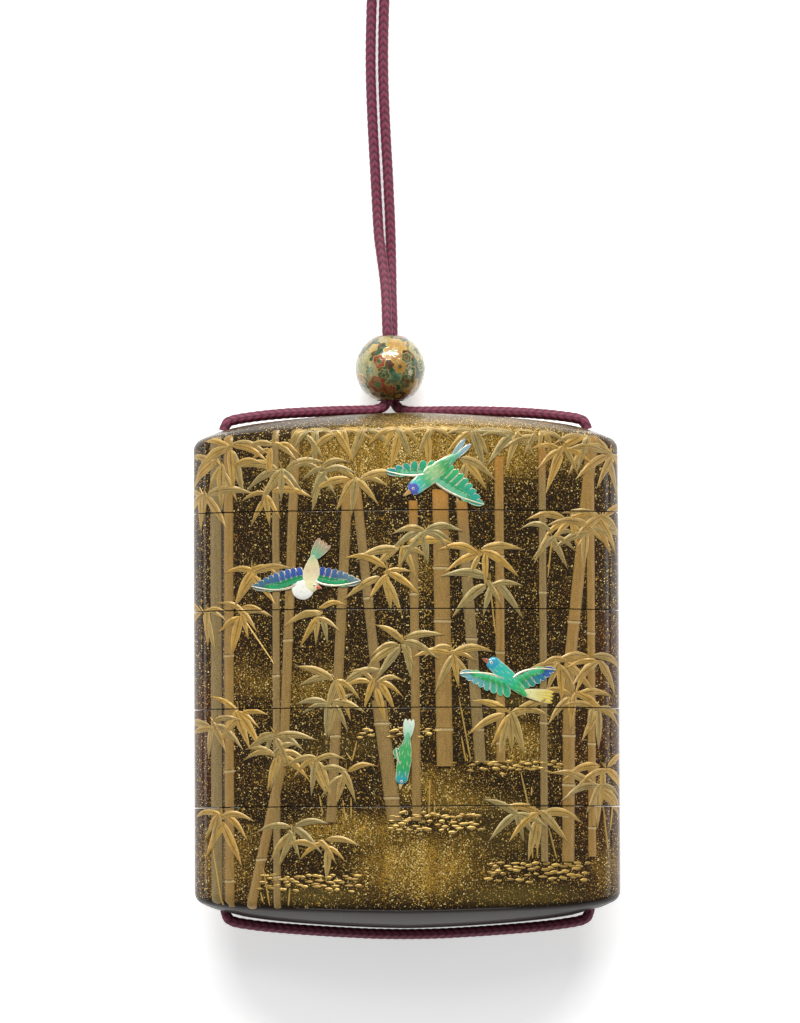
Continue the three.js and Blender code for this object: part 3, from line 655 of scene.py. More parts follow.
def ring(inset, height, half_width=HALF_WIDTH, share=1.0):
    """One closed ring round the plan drawn in by inset, its ends cut square at half_width, and
    z drawn to the ridge by share. At each turn of the outward normal the plan is the arc's
    centre plus its radius less the inset. height is y, or a function of x and z."""
    on_face = np.abs(TURNS) <= JOIN_TURN + 1e-9
    radius = np.where(on_face, FACE_RADIUS, END_RADIUS) - inset
    x = np.where(on_face, 0, np.sign(TURNS) * END_CENTRE) + radius * np.sin(TURNS)
    depth = np.where(on_face, -ARC_CENTRE, 0) + radius * np.cos(TURNS)
    back = np.minimum(depth, AXIS_Z - inset)
    x = np.clip(x, -half_width, half_width)
    x = np.concatenate([x, x[-2:0:-1]])
    z = share * np.concatenate([depth, -back[-2:0:-1]])
    y = x * 0 + (height(x, z) if callable(height) else height)
    return np.stack([x, y, AXIS_Z + z], axis=-1)


# Clouds of sprinkled gold on the front: x, y, half width, half height, how many
# flakes and how much dust they add to the ground between them.
BASE_FLAKE = 0.37
BASE_DUST = 0.04
GOLD_CLOUDS = [
    (8.0, 39.5, 22.0, 5.6, 1.1, 0.4), (-13.0, 37.0, 10.0, 5.0, 0.6, 0.1),
    (20.0, -13.6, 5.5, 4.2, 0.7, 0.1), (2.0, -36.0, 10.5, 5.4, 0.95, 0.2),
    (-16.0, -3.5, 8.0, 4.5, 0.45, 0.0), (-11.0, -29.0, 9.5, 2.6, 0.8, 0.15),
    (4.0, -21.5, 8.0, 4.0, 0.5, 0.1), (-34.5, -35.0, 3.5, 8.0, 0.4, 0.1),
    (-29.0, -34.0, 3.0, 7.0, 0.35, 0.0), (-19.0, -19.0, 8.0, 3.0, 0.3, 0.0),
    (-28.5, -2.0, 5.0, 4.0, 0.35, 0.0), (12.0, -25.0, 9.0, 2.4, 0.25, 0.45),
    (-16.0, -41.0, 8.5, 1.7, -0.1, 0.75), (19.5, -41.0, 11.0, 1.8, -0.1, 0.8),
    (17.0, -31.0, 9.0, 3.0, 0.1, 0.35), (20.0, -6.5, 9.0, 2.0, 0.1, 0.4),
    (-12.0, -14.0, 8.0, 2.4, 0.0, 0.4), (36.0, -36.0, 2.5, 5.0, 0.4, 0.1),
    (3.0, 16.0, 4.5, 5.0, 0.25, 0.0), (-5.0, 24.0, 6.0, 4.0, 0.15, 0.0),
]


def gold_ground(points, low_edge):
    """Amounts of flakes, dust, red and gloss at points of the outside: a sparse sprinkling, with
    soft clouds exp(-r^3) over it, redder towards the sides, and plain on the underside."""
    x, y, z = points[..., 0], points[..., 1], points[..., 2]
    flake = np.full(x.shape, BASE_FLAKE)
    dust = np.full(x.shape, BASE_DUST)
    for at_x, at_y, half_x, half_y, more, powder in GOLD_CLOUDS:
        far = np.hypot((x - at_x) / half_x, (y - at_y) / half_y)
        flake += more * np.exp(-far ** 3)
        dust += powder * np.exp(-far ** 3)
    ember = np.clip((np.abs(x) - 27.0) / 9.0, 0, 1) * np.exp(-((y + 12) / 34) ** 2)
    under = np.clip((low_edge - y) / 0.6, 0, 1)
    roof = np.clip((y - LID_CORNER - 1.6) / 0.6, 0, 1)
    gloss = 1 - 0.8 * roof - 0.7 * under - 0.5 * np.clip((np.abs(x) - 36.8) / 1.2, 0, 1)
    plain = 1 - under
    return flake * (1 - 0.97 * under), dust * plain, 0.7 * ember * plain, np.maximum(gloss, 0.2)


def fillet(count, radius):
    """Insets and drops of a quarter-round edge, from the wall over to the top."""
    turn = np.linspace(0, np.pi / 2, count)
    return zip(radius * (1 - np.cos(turn)), radius * (1 - np.sin(turn)))


def roof_at(corner, rise, sign, drop=0.0):
    """The height of a crown over a corner, up for sign 1 and down for -1, less a drop."""
    return lambda x, z: corner + sign * (crown(x, z, rise) - drop)


def wall_at(start, end, share):
    """A height part of the way from one ring's height to another's."""
    low = start if callable(start) else lambda x, z: start
    high = end if callable(end) else lambda x, z: end
    return lambda x, z: (1 - share) * low(x, z) + share * high(x, z)


def outside_rings(low, high, low_rise, high_rise):
    """Rings up the outside of a tier: its lower edge, its wall and its upper edge. A rise gives
    that end a crown with a wide shoulder, and without one the end is a joint's thin edge."""
    rings = []
    low_edge = SHOULDER if low_rise else JOINT_EDGE
    high_edge = SHOULDER if high_rise else JOINT_EDGE
    start = roof_at(low, low_rise, -1, low_edge) if low_rise else low + low_edge
    end = roof_at(high, high_rise, 1, high_edge) if high_rise else high - high_edge
    for inset, drop in list(fillet(7, low_edge))[::-1]:
        at = roof_at(low, low_rise, -1, drop) if low_rise else low + drop
        rings.append(ring(inset, at))
    for share in np.linspace(0, 1, WALL_ROWS)[1:-1]:
        rings.append(ring(0, wall_at(start, end, share)))
    for inset, drop in fillet(7, high_edge):
        at = roof_at(high, high_rise, 1, drop) if high_rise else high - drop
        rings.append(ring(inset, at))
    return rings


def crown_rings(corner, rise, sign):
    """Rings from a crown's edge to its ridge."""
    return [ring(SHOULDER, roof_at(corner, rise, sign), share=share)
            for share in np.linspace(1, 0, 11)[1:]]


def tier_part(low, high, low_rise=0.0, high_rise=0.0):
    """A tier as one closed hollow form, ring by ring: up from the socket or the underside, over
    the outside and the lip, and down into the hollow to its floor or roof."""
    lip_half, lip_in = CAVITY_HALF_WIDTH + LIP, SKIN + JOINT_GAP
    socket_half, hollow_in = lip_half + JOINT_GAP, lip_in + LIP
    lip_top, ceiling = high + LIP_HEIGHT, low + LIP_HEIGHT + JOINT_GAP
    socket = [ring(SKIN, ceiling, socket_half), ring(SKIN, low, socket_half)]
    if low_rise:
        below = crown_rings(low, low_rise, -1)[::-1]
        floor = roof_at(low + CROWN_WALL, low_rise, -1)
    elif high_rise:
        roof = roof_at(high - CROWN_WALL, high_rise, 1)
        below = [ring(hollow_in, roof, CAVITY_HALF_WIDTH, share) for share in (0.0, 0.5, 1.0)]
        below += [ring(hollow_in, ceiling, CAVITY_HALF_WIDTH)] + socket
    else:
        below = [ring(SKIN, ceiling, socket_half, share) for share in (0.0, 0.5)] + socket
        floor = ceiling + FLOOR
    outside = outside_rings(low, high, low_rise, high_rise)
    if high_rise:
        above = crown_rings(high, high_rise, 1)
    else:
        above = [ring(lip_in, high, lip_half), ring(lip_in, lip_top - LIP_BEVEL, lip_half),
                 ring(lip_in + LIP_BEVEL, lip_top, lip_half - LIP_BEVEL),
                 ring(hollow_in, lip_top, CAVITY_HALF_WIDTH)]
        above += [ring(hollow_in, floor, CAVITY_HALF_WIDTH, share) for share in (1.0, 0.5, 0.0)]
    points = np.stack(below + outside + above)
    shown = np.zeros(len(points), bool)
    shown[len(below):len(below) + len(outside)] = True
    if low_rise:
        shown[:len(below)] = True
    if high_rise:
        shown[-len(above):] = True
    low_edge = FOOT_CORNER - edge_of(points[..., 0], FOOT_CROWN) + PLAIN_BAND
    flake, dust, ember, gloss = (np.where(shown[:, None], value, plain) for value, plain in
                                 zip(gold_ground(points, low_edge), INSIDE_LOOK))
    return part(points, flake=flake, dust=dust, ember=ember, gloss=gloss)


def bore(made, levels):
    """Cuts both cord channels through a tier, with a flared mouth at each level given."""
    reach = LENGTH
    profile = [(CHANNEL_RADIUS, -reach), (CHANNEL_RADIUS, reach)]
    for level, sign in levels:
        # Radius and y of the flare, from the channel out past the mouth.
        flare = [(CHANNEL_RADIUS, level - sign * 1.6), (CHANNEL_RADIUS + 0.25, level - sign * 0.7),
                 (MOUTH_RADIUS, level + sign * 0.3), (MOUTH_RADIUS + 2, level + sign * 1.6)]
        profile = ([profile[0]] + flare if sign > 0 else flare[::-1] + [profile[-1]])
    turn = np.linspace(0, 2 * np.pi, 28, endpoint=False)
    radius, level = np.array(profile).T[:, :, None]
    wall = np.stack(np.broadcast_arrays(radius * np.cos(turn), level, radius * np.sin(turn)), -1)
    ends = [wall[i:i + 1 or None] * [0, 1, 0] for i in (0, -1)]
    tools = np.concatenate([ends[0][:1], wall, ends[1][-1:]])
    both = [part(tools + [side * CHANNEL_X, 0, AXIS_Z]) for side in (-1, 1)]
    cutter = form(made.name + "_bore", both)
    cut = made.modifiers.new("channels", "BOOLEAN")
    cut.object, cut.operation, cut.solver = cutter, "DIFFERENCE", "EXACT"
    drawn = made.evaluated_get(bpy.context.evaluated_depsgraph_get())
    old, made.data = made.data, bpy.data.meshes.new_from_object(drawn)
    made.modifiers.remove(cut)
    bpy.data.meshes.remove(old)
    bpy.data.objects.remove(cutter)
    made.data.set_sharp_from_angle(angle=np.radians(EDGE_ANGLE))


TIERS = {
    "bottom_case": (FOOT_CORNER, JOINTS[0] - SEAM / 2, UNDERSIDE, 0.0),
    "third_case": (JOINTS[0] + SEAM / 2, JOINTS[1] - SEAM / 2, 0.0, 0.0),
    "second_case": (JOINTS[1] + SEAM / 2, JOINTS[2] - SEAM / 2, 0.0, 0.0),
    "upper_case": (JOINTS[2] + SEAM / 2, JOINTS[3] - SEAM / 2, 0.0, 0.0),
    "lid": (JOINTS[3] + SEAM / 2, LID_CORNER, 0.0, LID_CROWN),
}
for name, (low, high, low_rise, high_rise) in TIERS.items():
    body = piece(name + "_lacquer", [tier_part(low, high, low_rise, high_rise)], [LACQUER],
                 name, "lacquer")
    mouths = [(LID_CORNER + float(crown(CHANNEL_X, 0, LID_CROWN)), 1)] if high_rise else []
    if low_rise:
        mouths = [(FOOT_CORNER - float(crown(CHANNEL_X, 0, FOOT_CROWN)), -1)]
    bore(body, mouths)

# ---- the bamboo grove in raised gold ----
CULM_RISE = 0.3
RELIEF_TOP = 0.56          # no stem, leaf or feather rises further than this over the wall
RELIEF_END = 40.3          # run round the face at which relief has sunk away
RELIEF_FADE = 4.5          # run over which it sinks
BACK_CLEAR = 7.5           # half the bare stripe down the back, on which the case rests
BACK_FADE = 4
BACK_SHARE = 0.8           # height of the back's relief as a share of the front's
SHOULDER_TURN = 1.4        # how far relief runs on round a shoulder, in radians
BIRD_HOLD = 0.6            # how much of its height relief loses under a bird
BLADE_ROWS = np.linspace(0, 1, 14)[:, None]
BLADE_ACROSS = np.array([-1, -0.76, -0.45, -0.2, 0, 0.2, 0.45, 0.76, 1])
EDGE_SPEED = END_RADIUS * np.cos(JOIN_TURN)
# Stems: x and y of the head and the foot, width, heights of the nodes, tone, redness.
CULMS = [
    ((-34.4, 43.0), (-34.4, -43.0), 2.0, (), 0.0, 0.0),
    ((-32.1, 43.0), (-32.1, -43.0), 1.7, (2.5, -18.4, -38.3), 0.7, 0.5),
    ((-23.5, 43.0), (-23.5, -43.2), 1.3, (-1.3, -37.6), 0.35, 0.15),
    ((-19.8, 43.0), (-22.2, -16.0), 1.7, (5.1,), 0.6, 0.3),
    ((-22.2, -16.0), (-28.3, -43.4), 1.8, (-34.4,), 0.6, 0.4),
    ((-10.4, 34.0), (-13.7, -27.9), 1.8, (-12.3,), 0.45, 0.2),
    ((-9.1, 34.0), (-5.0, -6.0), 1.7, (12.5,), 0.3, 0.2),
    ((-5.0, -6.0), (-2.3, -27.7), 2.6, (-10.1, -23.5), 0.45, 0.1),
    ((1.3, 30.0), (1.7, -27.7), 1.6, (13.2,), 0.55, 0.3),
    ((6.2, 32.0), (6.8, -17.9), 2.9, (17.9, 8.3, -11.2), 0.8, 0.3),
    ((10.0, 30.0), (13.2, -17.2), 2.0, (5.1, -11.2), 0.2, 0.0),
    ((16.8, 38.0), (16.9, -17.2), 1.6, (20.1, 2.7, -13.7), 0.75, 0.6),
    ((24.6, 40.0), (24.7, -35.1), 1.3, (13.6, -10.0), 0.25, 0.1),
    ((33.9, 42.0), (29.4, 0.0), 2.1, (8.3,), 0.85, 0.6),
    ((29.4, 0.0), (29.0, -35.1), 2.2, (-12.3, -21.2, -26.8), 0.7, 0.5),
    ((33.4, 42.0), (33.4, -34.2), 1.4, (6.3, -13.7, -28.9), 0.8, 0.6),
]
BACK_CULMS = [
    ((-33.0, 43.0), (-34.6, -43.0), 2.1, (14.0, -9.0, -30.0), 0.6, 0.3),
    ((-24.5, 43.0), (-22.0, -40.0), 1.8, (21.0, -2.0, -25.0), 0.4, 0.1),
    ((-16.0, 43.0), (-17.4, -43.0), 1.4, (5.0, -19.0), 0.3, 0.2),
    ((14.5, 43.0), (12.6, -38.0), 1.9, (17.0, -6.0, -27.0), 0.7, 0.3),
    ((21.0, 43.0), (23.4, -43.0), 1.5, (10.0, -14.0), 0.3, 0.1),
    ((31.0, 43.0), (31.0, -41.0), 2.4, (19.0, 1.0, -21.0), 0.6, 0.4),
]
# Where the leaves of a spray meet, x and y, and how many there are.
SPRAYS = [
    (-31.7, 40.3, 7), (-33.2, 36.7, 7), (-24.3, 40.3, 6), (-22.4, 35.9, 7), (-25.2, 31.8, 5),
    (-15.0, 35.5, 7), (-8.9, 33.9, 7), (-36.8, 31.8, 6), (28.5, 39.6, 7), (10.5, 37.0, 4),
    (37.0, 38.7, 6), (-28.0, 17.6, 6), (-30.2, 10.0, 7), (-36.8, 10.5, 6), (-15.7, 9.4, 7),
    (-3.6, 17.2, 7), (-0.8, 21.8, 6), (3.6, 24.5, 8), (13.3, 20.4, 7), (15.2, 15.3, 6),
    (29.6, 26.8, 7), (26.5, 23.5, 6), (35.2, 27.1, 7), (33.0, 24.6, 5), (-1.0, 4.2, 8),
    (7.9, 2.7, 7), (27.9, 0.8, 7), (33.4, 1.8, 7), (-12.6, -2.3, 6), (-13.7, -6.6, 7),
    (-6.0, -2.7, 7), (30.0, -4.9, 6), (34.0, -7.5, 6), (-30.4, -8.0, 7), (-34.8, -9.8, 6),
    (-23.7, -11.8, 7), (-23.5, -15.8, 7), (-16.5, -16.8, 6), (-11.0, -19.0, 5),
    (18.3, -8.4, 8), (34.6, -21.6, 7), (36.0, -18.3, 5), (-33.4, -26.6, 7),
    (-20.8, -29.5, 7), (-15.0, -31.8, 6), (23.9, -26.7, 6), (19.4, -26.6, 5),
]
# Sprays that hang in from over the roof's edge, all of HANGING_LEAVES leaves.
HANGING_LEAVES = 5
HANGING = [(-17.5, 43.0), (-12.5, 43.2), (-7.0, 43.4), (-1.5, 43.4), (4.0, 43.4), (12.0, 43.0),
           (20.0, 42.6), (24.0, 42.3), (33.5, 41.6)]
BACK_SPRAYS = [(-35.0, 34.0, 7), (-29.0, 24.0, 6), (-23.0, 12.0, 7), (-33.0, 2.0, 7),
               (-18.0, -8.0, 6), (-27.0, -20.0, 7), (-34.0, -30.0, 6), (15.0, 30.0, 7),
               (22.0, 20.0, 6), (32.0, 12.0, 7), (14.5, 2.0, 6), (26.0, -8.0, 7),
               (34.0, -18.0, 6), (18.0, -25.0, 7), (29.0, 36.0, 7)]
# Young shoots and hanging twigs: the x and y of their two ends.
SHOOTS = [
    (-33.3, -43.4, -35.3, -30.6), (-24.9, -42.8, -26.0, -36.0), (-21.5, -42.9, -21.2, -39.7),
    (-26.1, -42.2, -26.5, -40.4), (10.6, -17.0, 9.8, -12.4), (11.5, -17.0, 9.4, -5.5),
    (3.9, -27.1, 4.1, -20.4), (4.9, -26.9, 4.9, -24.0), (22.0, -25.8, 20.5, -18.9),
    (22.4, -23.2, 22.5, -21.7), (23.1, -26.6, 22.9, -25.1), (-9.9, -16.9, -9.0, -13.3),
    (-9.9, -16.9, -10.9, -15.4), (-15.2, -26.5, -15.8, -23.1), (-11.1, -27.5, -11.6, -23.9),
    (-10.1, -27.0, -10.1, -23.4), (22.6, -34.5, 22.3, -28.6), (23.4, -34.3, 23.5, -30.7),
    (26.9, -34.5, 25.5, -29.0), (36.3, -33.2, 35.5, -25.0), (36.8, -29.4, 37.3, -25.0),
    (15.1, 15.2, 16.0, 6.0), (-30.0, 9.9, -23.9, 0.8), (26.4, 23.5, 25.6, 16.3),
]
# Beds of pebbles: left, right, top and bottom, and how many.
PEBBLES = [(2.6, 5.3, -11.2, -12.5, 5), (-8.4, -6.2, -11.0, -12.8, 5),
           (-3.0, -0.6, -11.0, -12.8, 5), (11.8, 27.6, -17.0, -18.8, 30),
           (-3.0, 13.1, -26.2, -29.7, 46), (-26.5, -8.8, -37.3, -40.1, 44),
           (14.4, 32.8, -35.1, -38.5, 48)]
# Round each set-in bird the relief is held down: the middle x, y and the reach.
BIRD_PLACES = [(5.0, 35.2, 8.5, 5.5), (-17.5, 17.0, 10.0, 5.5), (18.5, -2.0, 9.0, 4.5),
               (-0.3, -16.0, 2.2, 6.5)]


def over_face(x, y, height, facing=1):
    """Points at a height over the wall. x runs along the face as seen from the front and then
    on round the end's arc; past the wall's upper or lower edge y runs on round its shoulder."""
    side, far = np.sign(x), np.abs(x)
    on_face = far <= ARC_JOIN
    turn = np.where(on_face, np.arcsin(np.minimum(far, ARC_JOIN) / FACE_RADIUS),
                    JOIN_TURN + (far - ARC_JOIN) / EDGE_SPEED)
    radius = np.where(on_face, FACE_RADIUS, END_RADIUS)
    flat = np.where(on_face, 0, END_CENTRE) + radius * np.sin(turn)
    top = LID_CORNER + edge_of(flat, LID_CROWN) - SHOULDER
    foot = FOOT_CORNER - edge_of(flat, FOOT_CROWN) + SHOULDER
    past = np.clip((y - np.clip(y, foot, top)) / SHOULDER, -SHOULDER_TURN, SHOULDER_TURN)
    level = np.clip(y, foot, top) + (SHOULDER + height) * np.sin(past)
    out = radius + (SHOULDER + height) * np.cos(past) - SHOULDER
    depth = np.where(on_face, -ARC_CENTRE, 0) + out * np.cos(turn)
    across = side * (np.where(on_face, 0, END_CENTRE) + out * np.sin(turn))
    return np.stack([across, level, AXIS_Z + facing * depth], axis=-1)


def held_down(x, y):
    """1 away from the birds and 1 - BIRD_HOLD under them, with exp(-r^6) between."""
    quiet = np.zeros(np.shape(x))
    for at_x, at_y, half_x, half_y in BIRD_PLACES:
        far = np.hypot((x - at_x) / half_x, (y - at_y) / half_y)
        quiet = np.maximum(quiet, np.exp(-far ** 6))
    return 1 - BIRD_HOLD * quiet


def relief(x, y, height, finish, facing=1, held=True, **values):
    """Closed low forms over the wall: x, y and height are (copies, rows, across). Each row's
    two outer points are carried down into the wall, and the end rows close to their middles."""
    edges = np.clip((RELIEF_END - np.abs(x)) / RELIEF_FADE, 0.03, 1)
    if facing < 0:
        edges = edges * np.clip((np.abs(x) - BACK_CLEAR) / BACK_FADE, 0, 1) * BACK_SHARE
    if held:
        height = height * held_down(x, y)
    top = over_face(x, y, np.minimum(height, RELIEF_TOP) * edges, facing)
    roots = over_face(x[..., [-1, 0]], y[..., [-1, 0]], RELIEF_ROOT, facing)
    loop = np.concatenate([top, roots], axis=-2)
    ends = [np.broadcast_to(loop[:, i:i + 1 or None].mean(axis=-2, keepdims=True),
                            loop[:, :1].shape) for i in (0, -1)]
    loop = np.concatenate([ends[0], loop, ends[1]], axis=1)
    full = {}
    for key, value in values.items():
        value = np.broadcast_to(value, x.shape + np.shape(value)[3:])
        value = np.concatenate([value, value[:, :, [-1, 0]]], axis=2)
        full[key] = np.concatenate([value[:, :1], value, value[:, -1:]], axis=1)
    return loop, finish, full


def culm(head, foot, width, nodes, tone, red, facing=1):
    """A stem as a half-round strip of height (1 - 0.92 v^2)^0.5, v from -1 to 1 across it. At a
    node it swells as exp(-(d / 0.32)^2), with a dark line and a pale one under it; the pale
    line is a painted highlight. Its sides are painted darker, a painted shade of its rounding."""
    near = [node + np.linspace(-0.8, 0.8, 17) for node in nodes]
    rows = np.unique(np.concatenate([np.linspace(foot[1], head[1], 70), *near]))
    rows = rows[(rows >= foot[1]) & (rows <= head[1])][:, None]
    share = (rows - foot[1]) / (head[1] - foot[1])
    gap = rows - np.array(nodes or (99.0,))
    swell = np.exp(-(gap / 0.32) ** 2).sum(axis=1, keepdims=True)
    line = np.exp(-((gap - 0.12) / 0.13) ** 2).sum(axis=1, keepdims=True)
    # Painted highlight: a pale line just under each node, as if light caught the top of the
    # segment below.
    pale = np.exp(-((gap + 0.2) / 0.15) ** 2).sum(axis=1, keepdims=True)
    across = BLADE_ACROSS[None, :]
    half = width / 2 * (1 + 0.14 * swell)
    x = foot[0] + (head[0] - foot[0]) * share + half * across
    height = 0.06 + CULM_RISE * (1 + 0.25 * swell) * np.sqrt(1 - 0.92 * across ** 2) - 0.07 * line
    head_glow = np.clip(1 - (head[1] - rows) / 10, 0, 1) * (29 < head[1] < 41)
    age = np.clip(red * 0.3 + 0.7 * head_glow ** 1.5, 0, 1)
    # The drawn node line, plus painted shade: the stem's sides darken as |across|^8.
    culm_line_and_side_shade = np.clip(line * 0.8 + 0.35 * np.abs(across) ** 8, 0, 1)
    return relief(x[None], (rows + 0 * across)[None], height[None], 0, facing, tone=tone, age=age,
                  line=culm_line_and_side_shade, rim=pale)


def stem_lift(x, y, culms):
    """How high the stems raise what lies over them."""
    lift = np.zeros(np.shape(x))
    for head, foot, width, *_ in culms:
        middle = foot[0] + (head[0] - foot[0]) * (y - foot[1]) / (head[1] - foot[1])
        v = (x - middle) / (width / 2)
        inside = (y > foot[1]) & (y < head[1])
        lift = np.maximum(lift, inside * CULM_RISE * np.exp(-(0.85 * v) ** 6))
    return lift


def blades(root, angle, length, width, finish, arch=0.0, lift=0.05, rise=0.12, tone=0.5, age=0.0,
           skew=0.62, fullness=0.9, rib=1.0, facing=1, culms=()):
    """Slender leaves, one for each root: half as wide as width sin(pi t^skew)^fullness at t
    along, bowed up by arch sin(pi t), and crowned across with a groove along the middle. Their
    edges carry rim, a painted highlight along both sides of the blade."""
    def column(value):
        """A value for each leaf, shaped to go with its rows and columns."""
        return np.broadcast_to(value, (len(root),))[:, None, None]
    t, v = BLADE_ROWS[None], BLADE_ACROSS[None, None]
    angle, length, arch = column(angle), column(length), column(arch)
    half = column(width) / 2 * np.clip(np.sin(np.pi * t ** skew), 0.02, 1) ** fullness
    ahead_x, ahead_y = np.cos(angle), np.sin(angle)
    sag = arch * np.abs(ahead_x) * np.sin(np.pi * t)
    x = root[:, 0, None, None] + ahead_x * length * t - ahead_y * half * v
    y = root[:, 1, None, None] + ahead_y * length * t + ahead_x * half * v + sag
    height = column(lift) + column(rise) * (1 - v ** 2) * (0.4 + 0.6 * np.sin(np.pi * t) ** 0.5)
    height = height - 0.05 * rib * np.exp(-(v / 0.15) ** 2) + stem_lift(x, y, culms)
    line = rib * np.clip(1 - np.abs(v) / 0.2, 0, 1) * np.clip(1.3 - t, 0, 1)
    # rim paints the outer quarter of each side pale: a painted highlight along the blade's edges.
    return relief(x, y, height, finish, facing, tone=column(tone) + 0 * v, age=column(age),
                  line=line, rim=np.clip((np.abs(v) - 0.76) / 0.24, 0, 1) + 0 * t)


def spray_leaves(rng, hubs, fan, facing, culms):
    """The leaves of the sprays: they fan out downwards, the outer ones bowed."""
    rows = []
    for x, y, count in hubs:
        dull = rng.uniform(0.05, 0.95)
        size = rng.uniform(0.88, 1.1)
        for i in rng.permutation(count):
            share = (i + 0.5) / count - 0.5
            reach = 7.0 * size * rng.uniform(0.72, 1.18)
            rows.append((x + rng.normal(0, 0.5), y + rng.normal(0, 0.45),
                         np.radians(-90 + fan * share + rng.normal(0, 13)), reach,
                         reach * rng.uniform(0.17, 0.205), rng.uniform(0.5, 1.2),
                         rng.uniform(0.03, 0.14), np.clip(dull + rng.normal(0, 0.25), 0, 1),
                         0.3 * np.clip((abs(x) - 20) / 15, 0, 1) * rng.uniform(0.3, 1)))
    x, y, angle, reach, width, arch, lift, tone, age = np.array(rows).T
    return blades(np.stack([x, y], axis=-1), angle, reach, width, 1, arch, lift, 0.15, tone, age,
                  facing=facing, culms=culms)


def hub_twigs(rng, hubs, facing, culms):
    """Short bare twigs over the hub of each spray."""
    spots = np.repeat(np.array(hubs)[:, :2], 3, axis=0)
    count = len(spots)
    return blades(spots, np.radians(rng.uniform(50, 130, count)), rng.uniform(0.9, 2.0, count),
                  0.2, 2, lift=0.05, rise=0.1, tone=rng.uniform(0, 1, count), skew=1,
                  fullness=0.3, rib=0, facing=facing, culms=culms)


def shoots(lines, culms):
    """Slim straight blades, each from the first end of its line to the second."""
    ends = np.array(lines)
    step = ends[:, 2:] - ends[:, :2]
    return blades(ends[:, :2], np.arctan2(step[:, 1], step[:, 0]), np.hypot(*step.T), 0.3, 2,
                  lift=0.04, rise=0.14, tone=0.8, skew=0.8, fullness=0.25, rib=0, culms=culms)


def pebbles(rng, beds, culms):
    """Low oval pebbles strewn over each bed, thickest towards its middle row."""
    spots = []
    for left, right, top, low, count in beds:
        across = np.linspace(left, right, count) + rng.normal(0, 0.2, count)
        level = np.tile([0.1, 0.55, 0.9, 0.35, 0.75], count)[:count] + rng.normal(0, 0.08, count)
        spots.append(np.stack([across - 0.75, low + (top - low) * level], axis=-1))
    spots = np.concatenate(spots)
    count = len(spots)
    return blades(spots, rng.normal(0, 0.08, count), rng.uniform(1.0, 1.7, count),
                  rng.uniform(0.4, 0.66, count), 2, lift=0.03, rise=0.12,
                  tone=rng.uniform(0, 1, count), skew=1, fullness=0.5, rib=0, culms=culms)


def grove():
    """Every raised form of both sides, as arrays of copies."""
    rng = np.random.default_rng(23)
    made = [culm(*line) for line in CULMS] + [culm(*line, facing=-1) for line in BACK_CULMS]
    hanging = [(x, y, HANGING_LEAVES) for x, y in HANGING]
    made += [pebbles(rng, PEBBLES, CULMS), shoots(SHOOTS, CULMS)]
    made += [spray_leaves(rng, SPRAYS, 212, 1, CULMS), hub_twigs(rng, SPRAYS, 1, CULMS)]
    made += [spray_leaves(rng, hanging, 170, 1, CULMS),
             spray_leaves(rng, BACK_SPRAYS, 205, -1, BACK_CULMS),
             hub_twigs(rng, BACK_SPRAYS, -1, BACK_CULMS)]
    return made


GROVE = grove()
for name, (low, high, low_rise, high_rise) in TIERS.items():
    low = low - FOOT_CROWN if low_rise else low + RELIEF_MARGIN
    high = high + LID_CROWN if high_rise else high - RELIEF_MARGIN
    parts = []
    for points, number, values in GROVE:
        level = points[..., 1]
        here = (level.max(axis=(1, 2)) > low) & (level.min(axis=(1, 2)) < high)
        if here.any():
            parts.append(part(points[here], number, **{key: value[here]
                                                       for key, value in values.items()}))
    piece(name + "_grove", parts, [CULM_GOLD, LEAF_GOLD, FOIL], slot="lacquer",
          between=(low, high), sharp=50)

# ---- the birds in enamel, let into the front ----
PLUME_ACROSS = np.array([-1, -0.88, -0.78, -0.4, 0, 0.4, 0.78, 0.88, 1])
CREAM = "f1e6c4"
